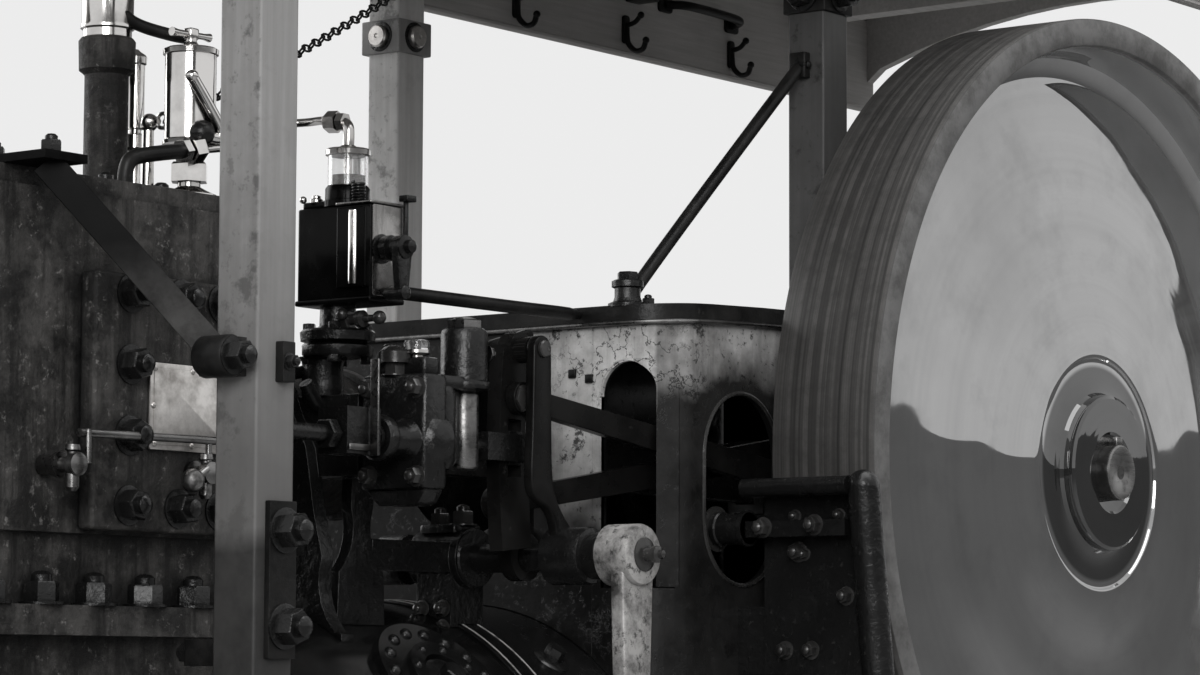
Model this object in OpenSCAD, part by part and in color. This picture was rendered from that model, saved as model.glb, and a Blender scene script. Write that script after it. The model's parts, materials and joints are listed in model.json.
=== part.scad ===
// Engine unit of a steam traction engine: boiler, side plates, cylinder,
// valve gear, crankshaft, disc flywheel and canopy. +X is forward, +Y is the
// flywheel side, +Z is up. The origin is the centre of the hind axle bore.

/* [Main places] */
// Crankshaft ahead of the hind axle
crank_x = 560; // [540:5:620]
// Crankshaft above the hind axle
crank_z = 640; // [620:5:700]
// Crank radius, half the piston stroke
throw = 127; // [115:1:135]

/* [Boiler] */
// Radius of the clad barrel
barrel_r = 375; // [360:5:380]
// Top of the barrel below the crankshaft
barrel_clear = 210; // [205:1:225]
// Front end of the barrel, ahead of the cylinder block
barrel_ahead = 98; // [80:1:140]
// Thickness of the tube plate flange
flange_t = 16; // [12:1:22]
// Radius of the tube plate flange
flange_r = 405; // [400:5:430]
// Front of the firebox, ahead of the crankshaft
firebox_front = 330; // [300:10:360]
// Back of the firebox, behind the crankshaft
firebox_back = -430; // [-450:10:-420]
// Bottom of the firebox, below the crankshaft
firebox_bottom = -1150; // [-1200:10:-1120]
// Wall of the firebox with its water space
firebox_wall = 85; // [70:5:95]
// Height of the foundation ring
ring_h = 36; // [30:1:45]
// Radius of the firehole
firehole_r = 135; // [120:5:145]
// Height of the firehole below the crankshaft
firehole_drop = 760; // [740:10:800]
// Width of a boiler band
band_w = 50; // [40:1:60]
// Thickness of a boiler band
band_t = 4; // [3:0.5:5]

/* [Side plates] */
// Thickness of a side plate
plate_t = 12; // [10:1:14]
// Outer face of a side plate from the centre line
plate_y = 345; // [343:1:350]
// Front face of the transverse front plate
front_x = 880; // [870:5:890]
// Radius of the rolled front corner
corner_r = 80; // [70:5:90]
// Crown of the top edge above the crankshaft
crown_z = 208; // [204:1:214]
// Radius of the long curve of the top edge
crown_r = 9344; // [8000:100:12000]
// Width of the slot in each side plate
slot_w = 180; // [160:5:190]
// Width of the eccentric rod arch
arch_w = 95; // [86:1:96]
// Radius of the hind axle bore
axle_r = 62; // [50:1:70]

/* [Cylinder] */
// Back face of the cylinder block, ahead of the motion bracket
block_gap = 270; // [262:1:298]
// Length of the cylinder block
block_len = 440; // [420:5:460]
// Top of the cylinder block above the crankshaft
block_top = 262; // [250:1:270]
// Valve chest face from the centre line
chest_y = 300; // [296:1:304]
// Thickness of the chest cover
cover_t = 26; // [20:1:32]
// Length of the chest cover
cover_len = 264; // [250:1:300]
// Outer radius of the trunk guide
trunk_r = 95; // [92:1:98]
// Wall of the trunk guide
trunk_wall = 18; // [14:1:22]
// Length of the trunk guide
trunk_len = 462; // [450:1:475]
// Crosshead pin behind the cylinder block
cross_gap = 195; // [185:1:205]

/* [Valve gear] */
// Plane of the valve gear from the centre line
gear_y = 285; // [283:1:287]
// Valve rod below the crankshaft
valve_drop = 14; // [10:1:18]
// Radius of the valve rod
valve_rod_r = 10.5; // [9:0.5:12]
// Throw of an eccentric
ecc_throw = 64; // [60:1:66]
// Radius of an eccentric sheave
sheave_r = 112; // [110:1:114]
// Width of a strap
strap_w = 24; // [20:1:24]
// Thickness of a rod and its eye
eye_t = 16; // [12:1:16]
// Weighshaft ahead of the front plate
weigh_gap = 189; // [182:1:195]
// Link centre ahead of the weighshaft
link_gap = 71; // [66:1:76]
// Valve rod guide ahead of the link centre
guide_gap = 160; // [154:1:168]
// Motion bracket ahead of the back of the valve rod guide
bracket_gap = 42; // [38:1:46]
// Height of the upper rod's pin above the crankshaft
pin_high = 51; // [48:1:56]
// Depth of the lower rod's pin below the crankshaft
pin_low = 85; // [80:1:88]
// Weighshaft below the crankshaft
weigh_drop = 153; // [150:1:158]
// Radius of the weighshaft
weigh_r = 20; // [18:1:22]

/* [Crankshaft and gears] */
// Radius of the crankshaft
shaft_r = 42; // [38:1:45]
// Radius of the crank pin
crank_pin_r = 38; // [34:1:42]
// Running clearance of a shaft in its bore
running_gap = 0.05; // [0.03:0.01:0.1]
// Second shaft ahead of the crankshaft
second_x = -300; // [-305:1:-290]
// Second shaft above the crankshaft
second_z = -110; // [-120:1:-100]
// Radius of the second shaft
second_r = 34; // [30:1:38]
// Outer radius of the spur wheel
spur_r = 246; // [230:1:247]
// Teeth of the spur wheel
spur_teeth = 52; // [40:1:60]

/* [Flywheel] */
// Outer radius of the flywheel
wheel_r = 686; // [660:1:700]
// Width of the rim
wheel_w = 169; // [150:1:172]
// Thickness of the rim
rim_t = 41; // [30:1:60]
// Outer face of the rim from the centre line
wheel_y = 558; // [556:1:580]
// Radius of the outer hub boss
hub_r = 118; // [100:1:130]

/* [Canopy] */
// Width of a square post
post_w = 63.5; // [55:0.5:70]
// Front face of the front posts, ahead of the back of the cylinder block
post_ahead = 240; // [232:1:250]
// Outer face of the front posts and the rear right post
post_y = 500; // [490:1:510]
// Bottom of the front posts
post_bottom = -640; // [-680:5:-600]
// Front face of the rear left post
post_rear_left_x = 471; // [465:1:480]
// Front face of the rear right post
post_rear_right_x = 525; // [515:1:535]
// Lower edge of the side boards above the crankshaft
board_z = 768; // [760:1:780]
// Height of the side boards
board_h = 172; // [150:1:200]
// Thickness of the side boards
board_t = 22; // [18:1:26]
// Underside of the roof ribs above the crankshaft
rib_z = 895; // [880:5:910]
// Rear face of the canopy
canopy_back = -940; // [-960:5:-900]
// Front face of the canopy, ahead of the front posts
canopy_ahead = 388; // [350:2:430]
// Rise of the roof at its middle
roof_rise = 70; // [50:1:90]
// Thickness of the roof
roof_t = 20; // [16:1:26]

/* [Hidden] */
$fn = 72;

BLACK = [0.05, 0.05, 0.055];
IRON = [0.2, 0.2, 0.2];
STEEL = [0.55, 0.55, 0.55];
BRIGHT = [0.8, 0.8, 0.8];
PALE = [0.62, 0.61, 0.58];
POST_GREY = [0.5, 0.5, 0.5];

seat = 0.3;
barrel_z = -barrel_clear - barrel_r;
plate_in = plate_y - plate_t;
// Places along X, each from the piece behind it
weigh_x = front_x + weigh_gap;
link_x = weigh_x + link_gap;
guide_x = link_x + guide_gap;
bracket_x = guide_x + bracket_gap;
block_back = bracket_x + block_gap;
block_front = block_back + block_len;
barrel_front = block_front + barrel_ahead;
trunk_back = block_back - trunk_len;
cross_x = block_back - cross_gap;
post_front_x = block_back + post_ahead;
canopy_front = post_front_x + canopy_ahead;
slot_x = front_x - corner_r - 14 - slot_w/2;
slot_top = 84;
slot_bottom = -183;
arch_y = plate_y - 57.5;
arch_top = 120;
arch_bottom = -190;
seam_y = 225;
plate_low = -405;
valve_z = -valve_drop;
weigh_z = -weigh_drop;
wheel_in_y = wheel_y - wheel_w;
wheel_in_r = wheel_r - rim_t;
post_rear_left_y = plate_in;

// Places given from the crankshaft are moved into the part's own frame
module at_crank() translate([crank_x, 0, crank_z]) children();

module rod_x(x0, x1, y, z, r)
    translate([x0, y, z]) rotate([0, 90, 0]) cylinder(h = x1 - x0, r = r);

module rod_y(x, y0, y1, z, r)
    translate([x, y0, z]) rotate([-90, 0, 0]) cylinder(h = y1 - y0, r = r);

module rod_z(x, y, z0, z1, r)
    translate([x, y, z0]) cylinder(h = z1 - z0, r = r);

module hex_z(x, y, z0, z1, across)
    translate([x, y, z0]) cylinder(h = z1 - z0, r = across/sqrt(3), $fn = 6);

module hex_x(x0, x1, y, z, across)
    translate([x0, y, z]) rotate([0, 90, 0])
        cylinder(h = x1 - x0, r = across/sqrt(3), $fn = 6);

module box(x0, x1, y0, y1, z0, z1)
    translate([x0, y0, z0]) cube([x1 - x0, y1 - y0, z1 - z0]);

// Side view outline in X and Z, thick along Y
module slab_y(y0, y1) translate([0, y1, 0]) rotate([90, 0, 0])
    linear_extrude(y1 - y0) children();

// End view outline in Y and Z, thick along X
module slab_x(x0, x1) translate([x0, 0, 0]) rotate([90, 0, 90])
    linear_extrude(x1 - x0) children();

// Points of an arc about a centre, from one angle to another
function arc(cx, cy, r, a0, a1, n = 10) =
    [for (i = [0:n]) let (a = a0 + (a1 - a0)*i/n) [cx + r*cos(a), cy + r*sin(a)]];

// Height of the top edge of the side plates at a place along X
function top_edge(x) = crown_z - pow(x - firebox_front, 2)/(2*crown_r);

// Room for the barrel and its bands in what is seated on them
module barrel_cutter() {
    rod_x(firebox_front - 1, barrel_front, 0, barrel_z, barrel_r + seat);
    for (x = band_places)
        rod_x(x - band_w/2 - seat, x + band_w/2 + seat, 0, barrel_z,
            barrel_r + band_t + seat);
}

module barrel() color(BLACK) at_crank()
    rod_x(firebox_front, barrel_front - flange_t, 0, barrel_z, barrel_r);

// Places of the bands along the barrel
band_places = [firebox_front + band_w/2, weigh_x - 7, block_back + 123,
    barrel_front - flange_t - band_w/2];

module boiler_bands() color(BLACK) at_crank() for (x = band_places) difference() {
    rod_x(x - band_w/2, x + band_w/2, 0, barrel_z, barrel_r + band_t);
    rod_x(x - band_w, x + band_w, 0, barrel_z, barrel_r);
}

tube_pitch = 84;
tube_r = 26;
flange_bolts = 20;
flange_hole_r = 9;
flange_pitch_r = flange_r - 16;

module tube_plate() color(IRON) at_crank() difference() {
    rod_x(barrel_front - flange_t, barrel_front, 0, barrel_z, flange_r);
    for (row = [-2:2], col = [-3:3])
        if (norm([row, col]) < 3.2)
            rod_x(barrel_front - flange_t - 1, barrel_front + 1,
                col*tube_pitch, barrel_z - 60 + row*tube_pitch, tube_r);
    for (i = [0:flange_bolts - 1]) let (a = 360*i/flange_bolts)
        rod_x(barrel_front - flange_t - 1, barrel_front + 1,
            flange_pitch_r*cos(a), barrel_z + flange_pitch_r*sin(a), flange_hole_r);
}

firehole_z = -firehole_drop;
furnace_top = barrel_z + plate_in - 2.2*firebox_wall;
module firebox_profile(half, top_z) {
    translate([0, top_z - half]) circle(r = half);
    translate([-half, firebox_bottom]) square([2*half, top_z - half - firebox_bottom]);
}

module firebox() color(BLACK) at_crank() difference() {
    slab_x(firebox_back, firebox_front) firebox_profile(plate_in, barrel_z + plate_in);
    slab_x(firebox_back + firebox_wall, firebox_front - firebox_wall)
        translate([0, -1]) firebox_profile(plate_in - firebox_wall, furnace_top);
    rod_x(firebox_back - 1, firebox_back + firebox_wall + 1, 0, firehole_z, firehole_r);
}

module foundation_ring() color(IRON) at_crank() difference() {
    box(firebox_back, firebox_front, -plate_y, plate_y,
        firebox_bottom - ring_h, firebox_bottom);
    box(firebox_back + firebox_wall, firebox_front - firebox_wall,
        -plate_in + firebox_wall, plate_in - firebox_wall,
        firebox_bottom - ring_h - 1, firebox_bottom + 1);
}

bar_count = 13;
bar_w = 18;
module grate() color(IRON) at_crank() {
    half = plate_in - firebox_wall;
    for (x = [firebox_back + firebox_wall, firebox_front - firebox_wall - 30])
        box(x, x + 30, -half, half, firebox_bottom + 20, firebox_bottom + 50);
    for (i = [0:bar_count - 1])
        let (y = -half + bar_w + (2*half - 2*bar_w)*i/(bar_count - 1))
        box(firebox_back + firebox_wall + 2, firebox_front - firebox_wall - 2,
            y - bar_w/2, y + bar_w/2, firebox_bottom + 50, firebox_bottom + 90);
}

ring_t = 20;
door_t = 14;
door_gap = 1;
hinge_r = 9;
hinge_y = firehole_r + 62;
hinge_half = 70;
door_x = firebox_back - ring_t - door_gap;
module firehole_ring() color(IRON) at_crank() {
    difference() {
        rod_x(firebox_back - ring_t, firebox_back, 0, firehole_z, firehole_r + 32);
        rod_x(firebox_back - ring_t - 1, firebox_back + 1, 0, firehole_z, firehole_r);
    }
    for (s = [-1, 1]) difference() {
        union() {
            box(door_x - door_t/2 - 12, firebox_back, hinge_y - 12, hinge_y + 14,
                firehole_z + s*hinge_half - 12, firehole_z + s*hinge_half + 12);
            rod_z(door_x - door_t/2, hinge_y, firehole_z + s*hinge_half - 12,
                firehole_z + s*hinge_half + 12, 16);
        }
        rod_z(door_x - door_t/2, hinge_y, firehole_z + s*hinge_half - 13,
            firehole_z + s*hinge_half + 13, hinge_r + running_gap);
    }
}

module firehole_door() color(BLACK) at_crank() {
    difference() {
        union() {
            rod_x(door_x - door_t, door_x, 0, firehole_z, firehole_r + 24);
            for (s = [-1, 1])
                box(door_x - door_t - 8, door_x - door_t, -firehole_r, hinge_y,
                    firehole_z + s*40 - 14, firehole_z + s*40 + 14);
            rod_z(door_x - door_t/2, hinge_y, firehole_z - hinge_half + 13,
                firehole_z + hinge_half - 13, 16);
        }
        rod_z(door_x - door_t/2, hinge_y, firehole_z - 100, firehole_z + 100,
            hinge_r);
    }
    rod_z(door_x - door_t/2, hinge_y, firehole_z - hinge_half - 20,
        firehole_z + hinge_half + 20, hinge_r);
    rod_x(door_x - door_t - 46, door_x - door_t, -firehole_r + 20, firehole_z, 9);
    rod_y(door_x - door_t - 46, -firehole_r - 10, -firehole_r + 50, firehole_z, 9);
}

// Side view outline of a side plate
side_outline = concat(
    [for (i = [0:8]) let (x = -200 + (front_x + 200)*i/8) [x, top_edge(x)]],
    [[front_x, plate_low], [firebox_front, plate_low], [firebox_front, firebox_bottom],
     [firebox_back, firebox_bottom], [firebox_back, -930], [-660, -820],
     [-700, -760], [-700, -560], [-520, -330], [-330, 60]]);

// Plan outline of the left side plate with its rolled front corner
corner_plan = concat(
    [[-700, plate_y], [front_x - corner_r, plate_y]],
    arc(front_x - corner_r, plate_y - corner_r, corner_r, 80, 10, 7),
    [[front_x, plate_y - corner_r], [front_x, seam_y], [front_x - plate_t, seam_y],
     [front_x - plate_t, plate_y - corner_r]],
    arc(front_x - corner_r, plate_y - corner_r, corner_r - plate_t, 10, 80, 7),
    [[front_x - corner_r, plate_in], [-700, plate_in]]);

module slot_outline() {
    for (z = [slot_top - slot_w/2, slot_bottom + slot_w/2])
        translate([slot_x, z]) circle(r = slot_w/2);
    translate([slot_x - slot_w/2, slot_bottom + slot_w/2])
        square([slot_w, slot_top - slot_bottom - slot_w]);
}

module arch_outline() {
    translate([arch_y, arch_top - arch_w/2]) circle(r = arch_w/2);
    translate([arch_y - arch_w/2, arch_bottom])
        square([arch_w, arch_top - arch_w/2 - arch_bottom]);
}

axle_boss_r = 112;
axle_boss_out = 20;
module side_plate(with_arch) difference() {
    union() {
        intersection() {
            translate([0, 0, firebox_bottom]) linear_extrude(crown_z - firebox_bottom)
                polygon(corner_plan);
            slab_y(seam_y - 1, plate_y + 1) polygon(side_outline);
        }
        rod_y(-crank_x, plate_in - axle_boss_out, plate_y + axle_boss_out, -crank_z,
            axle_boss_r);
    }
    slab_y(plate_in - 1, plate_y + 1) slot_outline();
    rod_y(0, plate_in - 1, plate_y + 1, 0, bearing_r + seat);
    rod_y(second_x, plate_in - 1, plate_y + 1, second_z, second_bearing_r + seat);
    rod_y(-crank_x, plate_in - axle_boss_out - 1, plate_y + axle_boss_out + 1, -crank_z,
        axle_r);
    if (with_arch) slab_x(front_x - corner_r, front_x + 1) arch_outline();
    barrel_cutter();
}

module side_plate_left() color(PALE) at_crank() side_plate(true);

module side_plate_right() color(PALE) at_crank() mirror([0, 1, 0]) side_plate(false);

front_arch_r = 112;
module front_plate() color(PALE) at_crank() difference() {
    slab_x(front_x - plate_t, front_x)
        polygon([[-seam_y, plate_low], [seam_y, plate_low],
            [seam_y, top_edge(front_x)], [-seam_y, top_edge(front_x)]]);
    rod_x(front_x - corner_r, front_x + 1, 0, 0, front_arch_r);
    barrel_cutter();
}

cover_t2 = 5;
cover_lip = 27;
cover_out = 6;
module cover_plan(grow) {
    back = -200;
    translate([back, -plate_y - grow])
        square([front_x - corner_r - back, 2*plate_y + 2*grow]);
    translate([back, -plate_y + corner_r])
        square([front_x - back + grow, 2*plate_y - 2*corner_r]);
    for (s = [-1, 1]) translate([front_x - corner_r, s*(plate_y - corner_r)])
        circle(r = corner_r + grow);
}

// Side view band between two heights above the top edge
module edge_band(low, high) slab_y(-plate_y - 20, plate_y + 20)
    polygon(concat(
        [for (i = [0:9]) let (x = -220 + (front_x + 240)*i/9) [x, top_edge(x) + high]],
        [for (i = [9:-1:0]) let (x = -220 + (front_x + 240)*i/9) [x, top_edge(x) + low]]));

module top_cover() color(BLACK) at_crank() difference() {
    intersection() {
        linear_extrude(crown_z + 20) cover_plan(cover_out);
        edge_band(cover_t2 - cover_lip, cover_t2);
    }
    intersection() {
        translate([0, 0, -1]) linear_extrude(crown_z + 20) cover_plan(seat);
        edge_band(-300, seat);
    }
    box(post_rear_left_x - post_w - seat, post_rear_left_x + seat,
        post_rear_left_y - post_w - seat, post_rear_left_y + seat, 0, crown_z + 40);
}

// A toothed wheel's outline
module teeth(r, count, depth) polygon([for (i = [0:count - 1], k = [0:3])
    let (a = 360*(i + [0, 0.2, 0.5, 0.7][k])/count,
         q = [r - depth, r, r, r - depth][k]) [q*cos(a), q*sin(a)]]);

web_in = 46;
web_t = 42;
web_r = 70;
pin_web_r = 60;
collar_r = 60;
// Place along Y and height of each eccentric: upper rod, lower rod
sheave_places = [[gear_y + 20, -ecc_throw], [gear_y - 20, ecc_throw]];
crank_gear_y = 110;
crank_gear_w = 44;
crank_gear_r = 100;
pinion_y = -490;
pinion_w = 50;
pinion_r = 74;
shaft_left = wheel_y - 4;
shaft_right = -500;

module crankshaft() color(STEEL) at_crank() {
    difference() {
        union() {
            rod_y(0, shaft_right, -web_in, 0, shaft_r);
            rod_y(0, web_in, shaft_left, 0, shaft_r);
            for (s = [-1, 1]) slab_y(s > 0 ? web_in : -web_in - web_t,
                s > 0 ? web_in + web_t : -web_in) {
                circle(r = web_r);
                translate([throw, 0]) circle(r = pin_web_r);
                translate([0, -pin_web_r]) square([throw, 2*pin_web_r]);
            }
            rod_y(throw, -web_in, web_in, 0, crank_pin_r);
            for (p = sheave_places)
                rod_y(0, p[0] - strap_w/2, p[0] + strap_w/2, p[1], sheave_r);
            rod_y(0, bearing_out + 1, wheel_in_y + 2, 0, collar_r);
            slab_y(crank_gear_y, crank_gear_y + crank_gear_w)
                teeth(crank_gear_r, 34, 9);
            slab_y(pinion_y, pinion_y + pinion_w) teeth(pinion_r, 15, 14);
        }
    }
}

bearing_r = 94;
bearing_flange_r = 132;
bearing_flange_t = 14;
bearing_out = plate_y + 28;
module crank_bearing() difference() {
    union() {
        rod_y(0, plate_in - 12, bearing_out, 0, bearing_r - 14);
        rod_y(0, plate_in - 12, plate_y + 1, 0, bearing_r);
        rod_y(0, plate_y, plate_y + bearing_flange_t, 0, bearing_flange_r);
    }
    rod_y(0, 0, wheel_y, 0, shaft_r + running_gap);
}

module crank_bearing_left() color(IRON) at_crank() crank_bearing();

module crank_bearing_right() color(IRON) at_crank() mirror([0, 1, 0]) crank_bearing();

// Flywheel section: radius and place along Y, from the bore outwards
web_y = wheel_y - 40;
ring_line_r = 175;
hub_out = wheel_y - 18;
wheel_section = [
    [shaft_r + running_gap, wheel_in_y + 3], [hub_r - 8, wheel_in_y + 3],
    [hub_r, wheel_in_y + 11], [hub_r + 16, web_y - 54], [wheel_in_r - 42, wheel_y - 118],
    [wheel_in_r - 12, wheel_y - 122], [wheel_in_r, wheel_in_y + 14],
    [wheel_in_r + 2, wheel_in_y], [wheel_r - 3, wheel_in_y], [wheel_r, wheel_in_y + 3],
    [wheel_r, wheel_y - 3], [wheel_r - 3, wheel_y], [wheel_in_r + 3, wheel_y],
    [wheel_in_r, wheel_y - 3], [wheel_in_r - 10, wheel_y - 78], [wheel_in_r - 34, wheel_y - 92],
    [ring_line_r, web_y], [ring_line_r - 3, web_y - 4], [hub_r + 10, web_y - 2],
    [hub_r, web_y + 6], [hub_r, hub_out - 6], [hub_r - 6, hub_out],
    [shaft_r + running_gap, hub_out]];
module flywheel() color(BLACK) at_crank()
    rotate([-90, 0, 0]) rotate_extrude($fn = 144) polygon(wheel_section);

spur_y = -428;
spur_w = 48;
spur_rim = 34;
spur_hub_r = 70;
module second_shaft() color(STEEL) at_crank() {
    rod_y(second_x, spur_y - 16, plate_y + 40, second_z, second_r);
    translate([second_x, 0, second_z]) {
        slab_y(spur_y, spur_y + spur_w) difference() {
            teeth(spur_r, spur_teeth, 13);
            circle(r = spur_r - spur_rim);
        }
        slab_y(spur_y + 10, spur_y + spur_w - 10) difference() {
            circle(r = spur_r - spur_rim + 1);
            for (a = [0:60:300]) translate([140*cos(a), 140*sin(a)]) circle(r = 42);
        }
        rod_y(0, spur_y - 6, spur_y + spur_w, 0, spur_hub_r);
    }
}

second_bearing_r = 62;
module second_bearings() color(IRON) at_crank() for (s = [-1, 1]) difference() {
    union() {
        rod_y(second_x, s > 0 ? plate_in - 10 : -plate_y - 10,
            s > 0 ? plate_y + 10 : -plate_in + 10, second_z, second_bearing_r);
        rod_y(second_x, s > 0 ? plate_y : -plate_y - 10,
            s > 0 ? plate_y + 10 : -plate_y, second_z, second_bearing_r + 26);
    }
    rod_y(second_x, -600, 600, second_z, second_r + running_gap);
}

cross_pin_r = 24;
module connecting_rod() color(STEEL) at_crank() difference() {
    union() {
        rod_y(throw, -web_in + 2, web_in - 2, 0, crank_pin_r + 22);
        box(throw - 62, throw + 70, -34, 34, -58, 58);
        slab_y(-17, 17) polygon([[throw + 60, -40], [cross_x, -24],
            [cross_x, 24], [throw + 60, 40]]);
        rod_y(cross_x, -26, 26, 0, cross_pin_r + 18);
    }
    rod_y(throw, -100, 100, 0, crank_pin_r + running_gap);
    rod_y(cross_x, -100, 100, 0, cross_pin_r + running_gap);
}

trunk_in = trunk_r - trunk_wall;
piston_r = 19;
module crosshead() color(STEEL) at_crank() {
    difference() {
        intersection() {
            rod_x(cross_x - 70, cross_x + 90, 0, 0, trunk_in - seat);
            union() {
                box(cross_x - 70, cross_x + 90, -60, 60, 46, 100);
                box(cross_x - 70, cross_x + 90, -60, 60, -100, -46);
                box(cross_x + 50, cross_x + 90, -40, 40, -60, 60);
                for (s = [-1, 1]) box(cross_x - 40, cross_x + 60,
                    s > 0 ? 28 : -54, s > 0 ? 54 : -28, -60, 60);
            }
        }
    }
    rod_y(cross_x, -54, 54, 0, cross_pin_r);
    rod_x(cross_x + 80, block_back - gland_t - 40, 0, 0, piston_r);
}

gland_t = 26;
// Rear and front end of each side opening of the trunk guide
guide_openings = [[trunk_back + 36, trunk_back + 186], [trunk_back + 242, trunk_back + 392]];
module opening_outline(o, r) {
    for (x = [o[0] + r, o[1] - r]) translate([x, 0]) circle(r = r);
    translate([o[0] + r, -r]) square([o[1] - o[0] - 2*r, 2*r]);
}

module trunk_guide() color(IRON) at_crank() difference() {
    union() {
        rod_x(trunk_back, block_back, 0, 0, trunk_r);
        rod_x(block_back - 24, block_back, 0, 0, trunk_r + 34);
        rod_x(trunk_back + 8, trunk_back + 26, 0, 0, trunk_r + 8);
    }
    rod_x(trunk_back - 1, block_back + 1, 0, 0, trunk_in);
    for (o = guide_openings) slab_y(-200, 200) opening_outline(o, 46);
}

// Motion bracket: a ring round the trunk guide, two flared legs on the barrel
// and a waisted web under the valve guide
bracket_t = 24;
web_lo = [guide_x - 64, guide_x + 30];
web_hi = [guide_x - 38, guide_x - 4];
leg_y = 200;
// Height of the barrel under the tip of a leg
foot_z = barrel_z + sqrt(barrel_r*barrel_r - leg_y*leg_y);
module leg_outline() polygon(concat([[60, 40], [60, -40], [96, -110]],
    arc(40, -150, 70, 20, -30, 4), [[70, -240], [70, -330], [leg_y, -330], [leg_y, foot_z + 10]],
    arc(250, foot_z + 78, 90, 226, 160, 5), [[150, -100], [136, -20], [104, 44]]));
module web_outline() polygon(concat([[web_lo[0], -250]],
    arc(web_lo[0] - 44, -120, 74, -50, 20, 7), [[web_hi[0] - 6, -40], [web_hi[1] + 6, -40]],
    arc(web_lo[1] + 44, -120, 74, 160, 230, 7), [[web_lo[1], -250]]));
module motion_bracket() color(BLACK) at_crank() difference() {
    union() {
        slab_x(bracket_x, bracket_x + bracket_t) {
            circle(r = trunk_r + 19);
            leg_outline();
            mirror([1, 0]) leg_outline();
        }
        slab_y(142, 160) web_outline();
        box(web_hi[0], bracket_x, 110, 208, -56, -36);
        box(guide_x, bracket_x + 6, 100, 208, -56, 48);
        rod_y(weigh_x, 88, 172, weigh_z, 40);
        box(weigh_x - 34, weigh_x + 34, 100, 160, weigh_z - 110, weigh_z);
        box(weigh_x + 20, web_hi[0], 142, 160, weigh_z - 20, weigh_z + 20);
    }
    rod_x(bracket_x - 100, bracket_x + bracket_t + 1, 0, 0, trunk_r + seat);
    rod_y(weigh_x, 80, 180, weigh_z, weigh_r + running_gap);
    barrel_cutter();
}

module valve_guide() color(BLACK) at_crank() difference() {
    union() {
        box(guide_x, guide_x + 48, 208, gear_y + 34, -76, 70);
        box(guide_x, guide_x + 30, 220, gear_y + 20, 70, 92);
        rod_x(guide_x, guide_x + 56, gear_y, valve_z, 42);
        rod_x(guide_x, guide_x + 100, gear_y, valve_z, 23);
        rod_x(guide_x + 88, guide_x + 104, gear_y, valve_z, 28);
        rod_z(guide_x + 14, gear_y - 10, 92, 106, 16);
        hex_z(guide_x + 34, gear_y - 28, 70, 86, 22);
    }
    rod_x(guide_x - 60, guide_x + 200, gear_y, valve_z, valve_rod_r + running_gap);
}

column_x = guide_x - 66;
module guide_column() color(BLACK) at_crank() difference() {
    union() {
        rod_z(column_x, gear_y, 60, 136, 31);
        rod_z(column_x, gear_y, -46, 60, 19);
        rod_z(column_x, gear_y, 56, 66, 34);
        hex_z(column_x, gear_y, 136, 148, 42);
        box(column_x, guide_x, gear_y - 22, gear_y + 22, -40, 58);
        rod_x(column_x - 48, column_x, gear_y, 98, 8);
    }
    rod_x(column_x - 60, guide_x + 200, gear_y, valve_z, valve_rod_r + running_gap);
}

yoke_x = block_back - 160;
fork_t = 6;
module valve_rod() color(STEEL) at_crank() {
    rod_x(link_x + 56, block_back - 20, gear_y, valve_z, valve_rod_r);
    box(yoke_x - 31, yoke_x + 31, gear_y - 24, gear_y + 24, valve_z - 24, valve_z + 34);
    box(link_x - link_slot + 1, link_x + link_slot - 1, gear_y - 14, gear_y + 14,
        valve_z - 22, valve_z + 22);
    for (s = [-1, 1]) let (y = gear_y + s*(link_t/2 + fork_t/2 + 1))
        box(link_x - 20, link_x + 46, y - fork_t/2, y + fork_t/2,
            valve_z - 18, valve_z + 18);
    box(link_x + 38, link_x + 62, gear_y - link_t/2 - fork_t - 1,
        gear_y + link_t/2 + fork_t + 1, valve_z - 18, valve_z + 18);
}

link_t = 22;
link_w = 60;
link_slot = 14;
link_half = 6.6;
link_top = pin_high + 64;
lever_top_x = link_x - 14;
eye_pin_r = 10;
// Height of each rod's pin on the link
pin_places = [pin_high, -pin_low];
module link_shape(r0, r1, a) translate([0, valve_z]) polygon(concat(
    arc(0, 0, r0, -a, a, 12), arc(0, 0, r1, a, -a, 12)));
module expansion_link() color(STEEL) at_crank() {
    slab_y(gear_y - link_t/2, gear_y + link_t/2) difference() {
        link_shape(link_x - link_w/2, link_x + link_w/2, link_half);
        link_shape(link_x - link_slot, link_x + link_slot, 1.9);
    }
    slab_y(gear_y - link_t/2, gear_y + link_t/2) translate([lever_top_x, link_top])
        circle(r = 24);
    rod_y(lever_top_x, gear_y, gear_y + link_t/2 + 20, link_top, 17);
    for (i = [0, 1]) let (s = i == 0 ? 1 : -1) rod_y(link_x,
        s > 0 ? gear_y : gear_y - link_t/2 - eye_t - 4,
        s > 0 ? gear_y + link_t/2 + eye_t + 4 : gear_y, pin_places[i], eye_pin_r);
}

strap_t = 18;
rod_foot_x = 100;
// Height and slope of each rod at its foot on the strap, and half its depth there
rod_feet = [-82, 75];
// A flat rod with its strap round a sheave and its eye on the link
module eccentric_rod(i) difference() {
    s = i == 0 ? 1 : -1;
    y = gear_y + s*20;
    z = sheave_places[i][1];
    e0 = s > 0 ? gear_y + link_t/2 + 1 : gear_y - link_t/2 - 1 - eye_t;
    union() {
        rod_y(0, y - strap_w/2, y + strap_w/2, z, sheave_r + strap_t);
        slab_y(e0, e0 + eye_t) polygon([
            [rod_foot_x, rod_feet[i] - 24], [link_x, pin_places[i] - 15],
            [link_x, pin_places[i] + 15], [rod_foot_x, rod_feet[i] + 24]]);
        rod_y(link_x, e0, e0 + eye_t, pin_places[i], 21);
    }
    rod_y(0, y - strap_w, y + strap_w, z, sheave_r + running_gap);
    rod_y(link_x, y - strap_w, y + strap_w, pin_places[i], eye_pin_r + running_gap);
}

module eccentric_rod_upper() color(STEEL) at_crank() eccentric_rod(0);

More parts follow.
